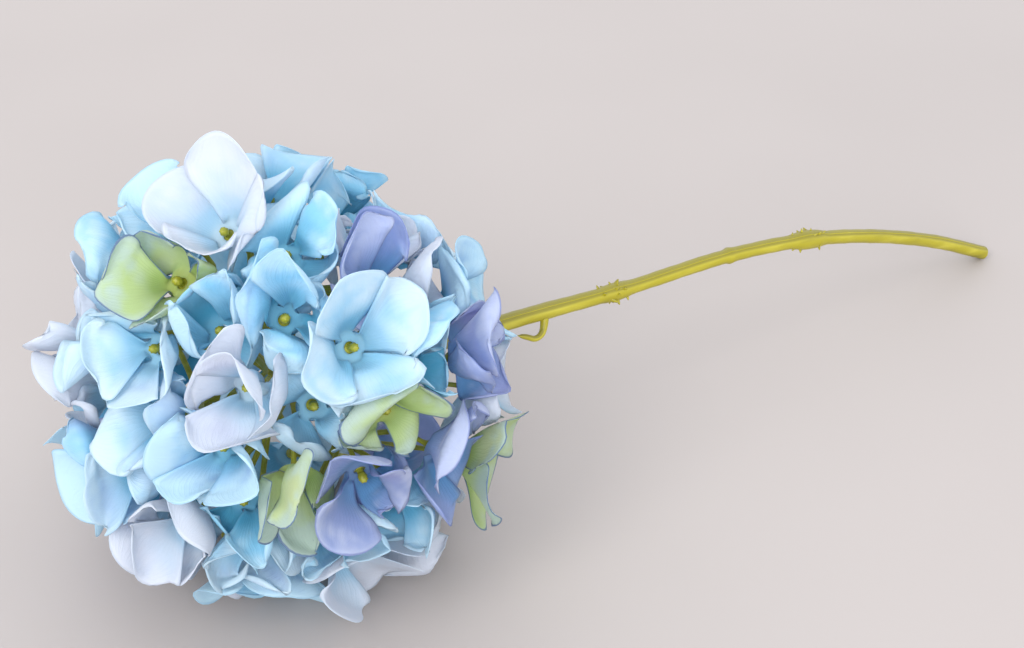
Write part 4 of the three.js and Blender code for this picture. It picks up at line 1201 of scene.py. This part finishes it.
def plastic_group():
    """Moulded plastic: mottled colour, streaks along the rod, a faint grain, and painted shade on what
    faces up.
    """
    t = Tree("moulded plastic", "ShaderNodeTree")
    for name in ("Body", "Lighter", "Darker", "Top"):
        t.takes(name, "NodeSocketColor")
    t.takes("Top share", "NodeSocketFloat", 0.8)
    t.takes("Mottle size", "NodeSocketFloat", 60.0)
    t.gives("Colour", "NodeSocketColor")
    t.gives("Height", "NodeSocketFloat")
    t.gives("Roughness", "NodeSocketFloat")
    spot = t.node("ShaderNodeTexCoord").outputs["Object"]
    stretched = t.node("ShaderNodeMapping", Vector=spot, Scale=(0.25, 1.0, 1.0)).outputs[0]
    mottle = noise(t, stretched, t.given("Mottle size"), 4.0)
    colour = blend_colours(t, ramp(t, mottle, 0.45, 0.75), t.given("Body"), t.given("Lighter"))
    colour = blend_colours(t, ramp(t, mottle, 0.45, 0.22), colour, t.given("Darker"))
    # Painted shade: what faces up is darkened towards the shade colour.
    facing = t.node("ShaderNodeTexCoord").outputs["Normal"]
    up = t.node("ShaderNodeSeparateXYZ", Vector=facing).outputs["Z"]
    up = sums(t, "MULTIPLY_ADD", sums(t, "SUBTRACT", mottle, 0.5), 0.5, up)
    top = sums(t, "MULTIPLY", ramp(t, up, 0.42, 0.72), t.given("Top share"))
    colour = blend_colours(t, top, colour, t.given("Top"))
    t.out("Colour", colour)
    t.out("Height", sums(t, "MULTIPLY_ADD", noise(t, spot, 1400.0, 3.0), 0.25, mottle))
    t.out("Roughness", sums(t, "MULTIPLY_ADD", mottle, 0.3, 0.3))
    return t.tree


def plastic_finish(name, group, mottle, body, lighter, darker, top):
    """Plastic of four tones: three of its own, and a last one that is painted shade on what faces up."""
    finish = Finish(name)
    plastic = finish.group(group, Body=linear(body), Lighter=linear(lighter), Darker=linear(darker),
                           Top=linear(top), Mottle_size=mottle)
    finish.feed("Base Color", plastic.outputs["Colour"])
    finish.feed("Roughness", plastic.outputs["Roughness"])
    finish.keep(Coat_Weight=0.12, Coat_Roughness=0.3)
    finish.emboss(plastic.outputs["Height"], 0.4, 0.0003)
    return finish.material


def table_finish():
    """A smooth pale table, a little uneven in tone."""
    finish = Finish("pale table")
    spot = finish.node("ShaderNodeTexCoord").outputs["Object"]
    share = ramp(finish, noise(finish, spot, 3.0, 3.0), 0.3, 0.7)
    finish.feed("Base Color", blend_colours(finish, share, linear("a29a97"), linear("a79f9c")))
    finish.keep(Roughness=0.6)
    finish.emboss(noise(finish, spot, 900.0, 2.0), 0.05, 0.0002)
    return finish.material


THROUGH = 0.48  # share of the light that each face of a petal lets through
# Six tones of each dye (the throat's deeper tone is partly painted shade), the rim's width and the
# throat's reach, the edge line's strength, and the veins
DYES_AND_PAINTED_SHADE = {
    "blue": dict(centre="82c3dc", throat="58acca", blade="9fd7ee", rim="d2eaf5", line="7fbcdc",
                 blush="c3cbee", rim_width=6, throat_reach=0.66, line_strength=0.3, veins=9),
    "pale": dict(centre="a2d3e7", throat="72bcd9", blade="b3dbee", rim="d9eaf3", line="a9d0e8",
                 blush="dad8f0", rim_width=7, throat_reach=0.6, line_strength=0.25, veins=8),
    "white": dict(centre="c6dce8", throat="a9cfe4", blade="d1dde9", rim="dfe3ec", line="c6d6e6",
                  blush="e4dfee", rim_width=8, throat_reach=0.45, line_strength=0.3, veins=8),
    "lavender": dict(centre="82a4cf", throat="669ac8", blade="a3b3dc", rim="c8d0e8", line="7686c2",
                     blush="b2aad8", rim_width=5, throat_reach=0.6, line_strength=0.6, veins=10),
    "green": dict(centre="b8c674", throat="a9c274", blade="c4d69c", rim="c6d7cc", line="5573a6",
                  blush="d2d3b4", rim_width=5, throat_reach=0.5, line_strength=0.8, veins=10),
}

# Making the florets
florets = all_florets()
petals = petals_of(florets)
triangles, owner = coarse_triangles()
walls = wall_arrays(florets)
coarse_rest = coarse_points(florets, petals)
coarse_pressed = press(coarse_rest, triangles, owner, walls)
cloth_rest, cloth = fine_petals(florets, petals, coarse_rest, coarse_pressed)
ruffle(cloth, florets)
cloth = relax(cloth, cloth_rest, walls)
weld_roots(cloth)
topology = FloretTopology()
groups = dict(dye=dye_and_shade_group(), veins=vein_group(), weave=weave_group(), plastic=plastic_group())
fabric = {tint: petal_finish(tint, dyes, groups) for tint, dyes in DYES_AND_PAINTED_SHADE.items()}
for i, floret in enumerate(florets):
    node = f"floret_{i + 1:02d}_{floret['tint']}"
    piece = linked(node + "_fabric", floret_mesh(node, topology, floret, cloth[i]))
    piece.data.materials.append(fabric[floret["tint"]])
    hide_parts(node)
    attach(piece, "root")


# The moulded spray inside the head
def line_through(points):
    """A smooth line through points (a centripetal spline), as a function of the share of its length."""
    points = [np.array(p, float) for p in points]
    padded = [2 * points[0] - points[1], *points, 2 * points[-1] - points[-2]]
    samples = [points[0]]
    for p0, p1, p2, p3 in zip(padded, padded[1:], padded[2:], padded[3:]):
        d0, d1, d2 = (math.sqrt(np.linalg.norm(b - a)) for a, b in ((p0, p1), (p1, p2), (p2, p3)))
        t1 = ((p1 - p0) / d0 - (p2 - p0) / (d0 + d1) + (p2 - p1) / d1) * d1
        t2 = ((p2 - p1) / d1 - (p3 - p1) / (d1 + d2) + (p3 - p2) / d2) * d1
        for w in np.linspace(0, 1, SPLINE_SAMPLES)[1:]:
            samples.append(p1 + t1 * w + (3 * (p2 - p1) - 2 * t1 - t2) * w * w
                           + (2 * (p1 - p2) + t1 + t2) * w ** 3)
    samples = np.array(samples)
    length = np.concatenate([[0], np.cumsum(np.linalg.norm(np.diff(samples, axis=0), axis=1))])
    length /= length[-1]

    def at(share):
        return np.array([np.interp(share, length, samples[:, axis]) for axis in range(3)])

    def along(share):
        return unit(at(min(1, share + NEXT_SHARE)) - at(max(0, share - NEXT_SHARE)))

    return at, along


stem_at, stem_along = line_through([
    (-116, 0, 62.4), (-70, 0, 58.6), (-24, 0.4, 55), (18, -0.5, 51.6), (70, 0.4, 48),
    (108, -0.4, 42), (140, 0, 31.8), (173, 0.3, 17.4), (200.5, 0, 2.3),
])


def lathe_faces(rings, sides, first, last):
    """Faces of rings of points, closed by fans to a first and a last pole."""
    faces = []
    end = (rings - 1) * sides
    for n in range(sides):
        m = (n + 1) % sides
        faces.append((first, m, n))
        for a in range(0, end, sides):
            faces.append((a + n, a + m, a + sides + m, a + sides + n))
        faces.append((last, end + n, end + m))
    return faces


def turned_shape(name, profile, start, axis, sides):
    """A shape turned on a lathe. The profile is (radius, height) from its first pole to its last."""
    aside = unit(np.cross(axis, (0.3, 0.9, 0.1)))
    third = np.cross(axis, aside)
    positions = []
    for radius, height in profile[1:-1]:
        for n in range(sides):
            angle = 2 * math.pi * n / sides
            positions.append(start + axis * height
                             + (aside * math.cos(angle) + third * math.sin(angle)) * radius)
    first, last = len(positions), len(positions) + 1
    positions += [start + axis * profile[0][1], start + axis * profile[-1][1]]
    mesh = bpy.data.meshes.new(name)
    faces = lathe_faces(len(profile) - 2, sides, first, last)
    mesh.from_pydata(placed(positions).tolist(), [], faces)
    return mesh


def knobbly_bead():
    """A flower's centre: a ball that is taller than wide, with grains moulded all over it."""
    shape = bmesh.new()
    bmesh.ops.create_icosphere(shape, subdivisions=3, radius=1)
    golden = math.pi * (3 - math.sqrt(5))
    grains, grain_reach = 26, 0.34
    low, swell = 0.82, 0.24
    slim, tall = 0.76, 1.08
    centres = []
    for n in range(grains):
        z = 1 - 2 * (n + 0.5) / grains
        r = math.sqrt(1 - z * z)
        centres.append(Vector((r * math.cos(golden * n), r * math.sin(golden * n), z)))
    for vert in shape.verts:
        nearest = min((vert.co.normalized() - c).length for c in centres)
        vert.co *= low + swell * math.cos(min(nearest / grain_reach, 1) * math.pi / 2)
        vert.co.x *= slim
        vert.co.y *= slim
        vert.co.z *= tall
    mesh = bpy.data.meshes.new("bead")
    shape.to_mesh(mesh)
    shape.free()
    mesh.shade_smooth()
    return linked("bead", mesh)


def nub_shape():
    """A short blunt thorn of moulding flash, one unit long."""
    sides = 8
    rings = [(0.45, -0.25), (0.36, 0.1), (0.25, 0.5), (0.15, 0.85)]
    vertices = [(r * math.cos(2 * math.pi * n / sides), r * math.sin(2 * math.pi * n / sides), h)
                for r, h in rings for n in range(sides)]
    top, bottom = len(vertices), len(vertices) + 1
    vertices += [(0, 0, 1), (0, 0, -0.25)]
    mesh = bpy.data.meshes.new("nub")
    mesh.from_pydata(vertices, [], lathe_faces(len(rings), sides, bottom, top))
    return linked("nub", mesh)


def ray_ends():
    """Where the rays end and the pedicels begin."""
    directions = [(0, 0)]
    directions += [(52, 20 + 72 * i) for i in range(5)]
    directions += [(100, 50 + 60 * i) for i in range(6)]
    return [HEAD_CENTRE + outward(*angles) * RAY_LENGTH for angles in directions]


def pedicel_line(floret, ends):
    """Guide of one pedicel with its collar and pin, from a ray's end to inside the bead."""
    hub, axis = floret["hub"], floret["axis"]
    root = min(ends, key=lambda end: np.linalg.norm(end - hub))
    at, _ = line_through([root, hub - axis * 13, hub - axis * 4.5])
    line = [(at(share), PEDICEL_RADIUS * between(1.15, 0.9, share)) for share in np.linspace(0, 1, 9)]
    for height, radius in (
            (-3.4, 1.0), (-2.2, 1.35), (-1.3, 1.95), (-SEAT - 0.3, COLLAR_RADIUS),
            (-SEAT, COLLAR_RADIUS * 0.96), (-SEAT + 0.04, PIN_RADIUS), (0, PIN_RADIUS),
            (SEAT + 0.5, PIN_RADIUS * 1.1)):
        line.append((hub + axis * height, radius))
    return line


def ray_lines(core, end):
    """Guides of one ray and of the swelling where it branches."""
    ray = [(core * (1 - s) + end * s, RAY_RADIUS * between(1, 0.8, s)) for s in np.linspace(0, 1, 7)]
    away = unit(end - HEAD_CENTRE)
    knot = [(end + away * KNOT_RADIUS * s, KNOT_RADIUS * math.sqrt(max(0.02, 1 - s * s)))
            for s in np.linspace(-1, 1, 9)]
    return [ray, knot]


def bead_place(floret):
    """Where a floret's bead sits, which way it faces, its size and how far it is turned."""
    middle = floret["hub"] + floret["axis"] * (SEAT + BEAD_HEIGHT * BEAD_SINK)
    radius = BEAD_RADIUS * between(0.92, 1.05, chance(floret["index"], 0, 61))
    return middle, floret["axis"], radius, chance(floret["index"], 1, 61) * BEAD_TURN


def spray(florets, sweep, studs, finish):
    """The socket, the rays, and every floret's pedicel, collar, pin and bead."""
    ends = ray_ends()
    start, along = stem_at(0), stem_along(0)
    mouth = start + along * SOCKET_DEPTH
    core = start - along * (SOCKET_LENGTH - SOCKET_DEPTH) / 2
    lines = [line for end in ends for line in ray_lines(core, end)]
    lines += [pedicel_line(floret, ends) for floret in florets]
    radius, length, depth = SOCKET_RADIUS, SOCKET_LENGTH, SOCKET_DEPTH
    lip = STEM_TOP_RADIUS + SOCKET_PLAY
    bore = lip - 0.2
    sleeve = turned_shape("sleeve", [
        (0, -length), (radius * 0.7, -length), (radius * 0.94, -length + 0.8), (radius, -length + 2),
        (radius, -1.2), (radius * 0.95, -0.3), (radius * 0.86, 0), (lip, 0), (bore, -0.5),
        (bore, -depth), (0, -depth),
    ], mouth, along, SLEEVE_SIDES)
    sleeve.materials.append(finish)
    bead = knobbly_bead()
    meshes = [
        sleeve,
        grown(sweep, guide_lines(lines), Sides=SPRAY_SIDES, Finish=finish),
        grown(studs, guide_points([bead_place(f) for f in florets]), Shape=bead, Finish=finish),
    ]
    bpy.data.objects.remove(bead)
    return joined("flower_rays_moulding", meshes)


# The stem
def share_at_x(x):
    """Share of the stem's length at this distance along the frame's first axis."""
    shares = np.linspace(0, 1, 801)
    return float(np.interp(x, [stem_at(s)[0] for s in shares], shares))


# Where the nodes are, how far and how long they swell, and their large nubs: how many, how long, and
# the first one's place round the stem in degrees
STEM_NODES = (
    dict(x=16, bulge=0.7, half=7, nubs=6, length=2.8, first=20),
    dict(x=69, bulge=0.5, half=2, nubs=0, length=0, first=0),
    dict(x=107, bulge=1.0, half=9, nubs=5, length=2.6, first=50),
)


def stem_radius(share):
    """Radius of the stem, with its nodes and a little unevenness."""
    radius = between(STEM_RADIUS, STEM_TOP_RADIUS, 1 - float(smoothstep(share, 0.3, 0.44)))
    x = stem_at(share)[0]
    for node in STEM_NODES:
        off = (x - node["x"]) / node["half"]
        if -1 < off < 1:
            radius += node["bulge"] * math.cos(off * math.pi / 2) ** (1.2 if off > 0 else 0.7)
    uneven = 0.05 * math.sin(x * 0.37) + 0.04 * math.sin(x * 0.91 + 1)
    return radius + uneven * (1 - float(smoothstep(share, 0.93, 1)))


def around_stem(share, turn):
    """A place on the stem's middle line, its direction there, and the way out of it at an angle."""
    at, along = stem_at(share), stem_along(share)
    side = unit(np.array([0, 1, 0]) - along * along[1])
    return at, along, side * math.cos(turn) + np.cross(along, side) * math.sin(turn)


def stub_line(x, out, points, radii):
    """Guide of a hooked stub where a leaf stalk sits: it leaves the stem and curls back along it."""
    share = share_at_x(x)
    at, along = stem_at(share), stem_along(share)
    out = unit(np.array(out, float))
    middle, _ = line_through([at + out * away + along * forward for away, forward in points])
    shares = np.linspace(0, 1, 24)
    thick = np.interp(shares, np.linspace(0, 1, len(radii)), radii)
    blunt = 1 - 0.9 * np.maximum(0, shares - 0.93) / 0.07
    return [(middle(s), radius) for s, radius in zip(shares, thick * blunt)]


def seam_line(degrees, shares):
    """Guide of the parting line that the mould left on one side of the stem."""
    line = []
    for share in shares:
        at, _, out = around_stem(share, math.radians(degrees))
        line.append((at + out * (stem_radius(share) - SEAM_SINK), SEAM_RADIUS))
    return line


def node_nubs(node):
    """Nubs at one node of the stem: a few large ones in a ring, then small ones by chance."""
    share = share_at_x(node["x"])
    nubs = []
    for i in range(node["nubs"]):
        turn = math.radians(node["first"] + 360 / node["nubs"] * i)
        at, along, out = around_stem(share, turn)
        lean = unit(out + along * (0.7 if i % 2 else -0.6))
        root = at + along * (i % 3 - 1) * node["half"] * 0.45 + out * (STEM_RADIUS - 0.2)
        nubs.append((root, lean, node["length"] * (1 if i % 2 else 0.75), i))
    for i in range(3 * node["nubs"]):
        draws = [chance(int(node["x"]), i, which) for which in (72, 73, 74, 75)]
        share = share_at_x(node["x"] + node["half"] * between(-0.95, 0.6, draws[0]))
        at, along, out = around_stem(share, 2 * math.pi * draws[1])
        lean = unit(out + along * between(-0.9, 0.5, draws[2]))
        nubs.append((at + out * (stem_radius(share) - 0.3), lean, between(1.0, 2.0, draws[3]), i))
    return nubs


def cut_end_nubs():
    """Small nubs round the stem's cut end."""
    nubs = []
    for degrees in range(0, 360, 45):
        tip, along, out = around_stem(1, math.radians(degrees))
        root = tip + out * (STEM_RADIUS - 0.5) - along * 0.3
        nubs.append((root, unit(out * 0.5 + along), 0.55 + 0.3 * chance(degrees, 0, 71), degrees))
    return nubs


def stem(sweep, studs, finish):
    """The rod with its nodes, the parting lines, the two stubs and the nubs."""
    shares = np.linspace(0, 1, STEM_POINTS)
    rod = [(stem_at(s), stem_radius(s)) for s in shares]
    lines = [seam_line(degrees, shares[SEAM_START:-1]) for degrees in SEAM_TURNS]
    lines += [
        stub_line(-15, (0, -0.5, -0.87),
                  [(0, 0), (4, -1), (7.8, -3.4), (8.8, -6.4), (7.4, -9.6), (6, -13)],
                  [2.1, 1.6, 1.35, 1.2, 1.1, 1.0, 0.6]),
        stub_line(-45, (0, 0.62, 0.78), [(0, 0), (5, -2), (8.6, -7), (11, -12), (13, -18)],
                  [2.2, 2.1, 2.1, 1.8, 1.3, 0.6]),
    ]
    places = [nub for node in STEM_NODES for nub in node_nubs(node)] + cut_end_nubs()
    nub = nub_shape()
    meshes = [
        grown(sweep, guide_lines([rod]), Sides=STEM_SIDES, Finish=finish),
        grown(sweep, guide_lines(lines), Sides=THIN_SIDES, Finish=finish),
        grown(studs, guide_points(places), Shape=nub, Finish=finish),
    ]
    bpy.data.objects.remove(nub)
    return joined("main_stem_moulding", meshes)


sweep, studs = sweep_tree(), studs_tree()
# The last colour of each plastic is painted shade on what faces up.
stem_plastic = plastic_finish("olive moulded plastic", groups["plastic"], 130,
                              "a09518", "bcb13a", "81770c", "6f6706")
spray_plastic = plastic_finish("yellow-green moulded plastic", groups["plastic"], 300,
                               "949425", "b6b24a", "676b14", "82831c")
for piece, node in (
    (stem(sweep, studs, stem_plastic), "main_stem"),
    (spray(florets, sweep, studs, spray_plastic), "flower_rays"),
):
    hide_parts(node)
    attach(piece, "root")

# The table, the light and the camera
IMAGE_WIDTH, IMAGE_HEIGHT = 1024, 648
LENS, SENSOR = 95, 36
LOOKING_DOWN = 35  # degrees
LOOKING_ROUND = 33  # degrees from the +Y axis towards +X
CAMERA_DISTANCE = 922.26
AIMED_AT = (283, 376)  # the head's centre in the photograph, from its left and its top
FARTHEST_SEEN = 20  # metres
TABLE_REACH = 4  # metres from the origin to the table's edges
LIGHTS_AIM = Vector((-0.08, 0, 0.05))  # metres


def camera_place():
    """The camera's matrix in the frame."""
    pixels = LENS / SENSOR * IMAGE_WIDTH
    down = math.radians(LOOKING_DOWN)
    forward = Vector((0, math.cos(down), -math.sin(down)))
    right = Vector((1, 0, 0))
    up = right.cross(forward)
    from_left, from_top = AIMED_AT
    sight = right * ((from_left - IMAGE_WIDTH / 2) / pixels)
    sight += up * ((IMAGE_HEIGHT / 2 - from_top) / pixels)
    sight += forward
    matrix = Matrix((right, up, -forward)).transposed().to_4x4()
    matrix.translation = Vector((0, 0, HEAD_CENTRE[2])) - sight * CAMERA_DISTANCE
    matrix = Matrix.Rotation(-math.radians(LOOKING_ROUND), 4, "Z") @ matrix
    matrix.translation = (matrix.translation + Vector((HEAD_CENTRE[0], FOOTPRINT_SHIFT[1], 0))) * MM
    return matrix


camera = linked("camera", bpy.data.cameras.new("camera"))
camera.data.lens = LENS
camera.data.sensor_width = SENSOR
camera.data.clip_end = FARTHEST_SEEN
camera.matrix_world = camera_place()
bpy.context.scene.camera = camera
bpy.context.scene.view_settings.view_transform = "Standard"

table = bpy.data.meshes.new("table")
corners = [(x * TABLE_REACH, y * TABLE_REACH, 0) for x, y in ((-1, -1), (1, -1), (1, 1), (-1, 1))]
table.from_pydata(corners, [], [(0, 1, 2, 3)])
table = linked("table", table)
table.data.materials.append(table_finish())

world = bpy.data.worlds.new("room")
bpy.context.scene.world = world
world.use_nodes = True
background = world.node_tree.nodes["Background"]
background.inputs["Color"].default_value = (0.93, 0.96, 1, 1)
background.inputs["Strength"].default_value = 1.5


def soft_light(name, spot, size, power, colour):
    """A round lamp that looks at the flower. Its spot and size are metres, its power is watts."""
    lamp = bpy.data.lights.new(name, "AREA")
    lamp.shape = "DISK"
    lamp.size = size
    lamp.energy = power
    lamp.color = colour
    light = linked(name, lamp)
    light.location = spot
    light.rotation_euler = (LIGHTS_AIM - Vector(spot)).to_track_quat("-Z", "Y").to_euler()


soft_light("window", (-1.9, -0.7, 1.9), 1.2, 28, (1, 0.985, 0.96))
soft_light("front", (-1.6, -2.6, 1.6), 2.2, 61, (0.95, 0.975, 1))
soft_light("ceiling", (0.3, 1.3, 1.5), 1.4, 2, (1, 0.99, 0.98))
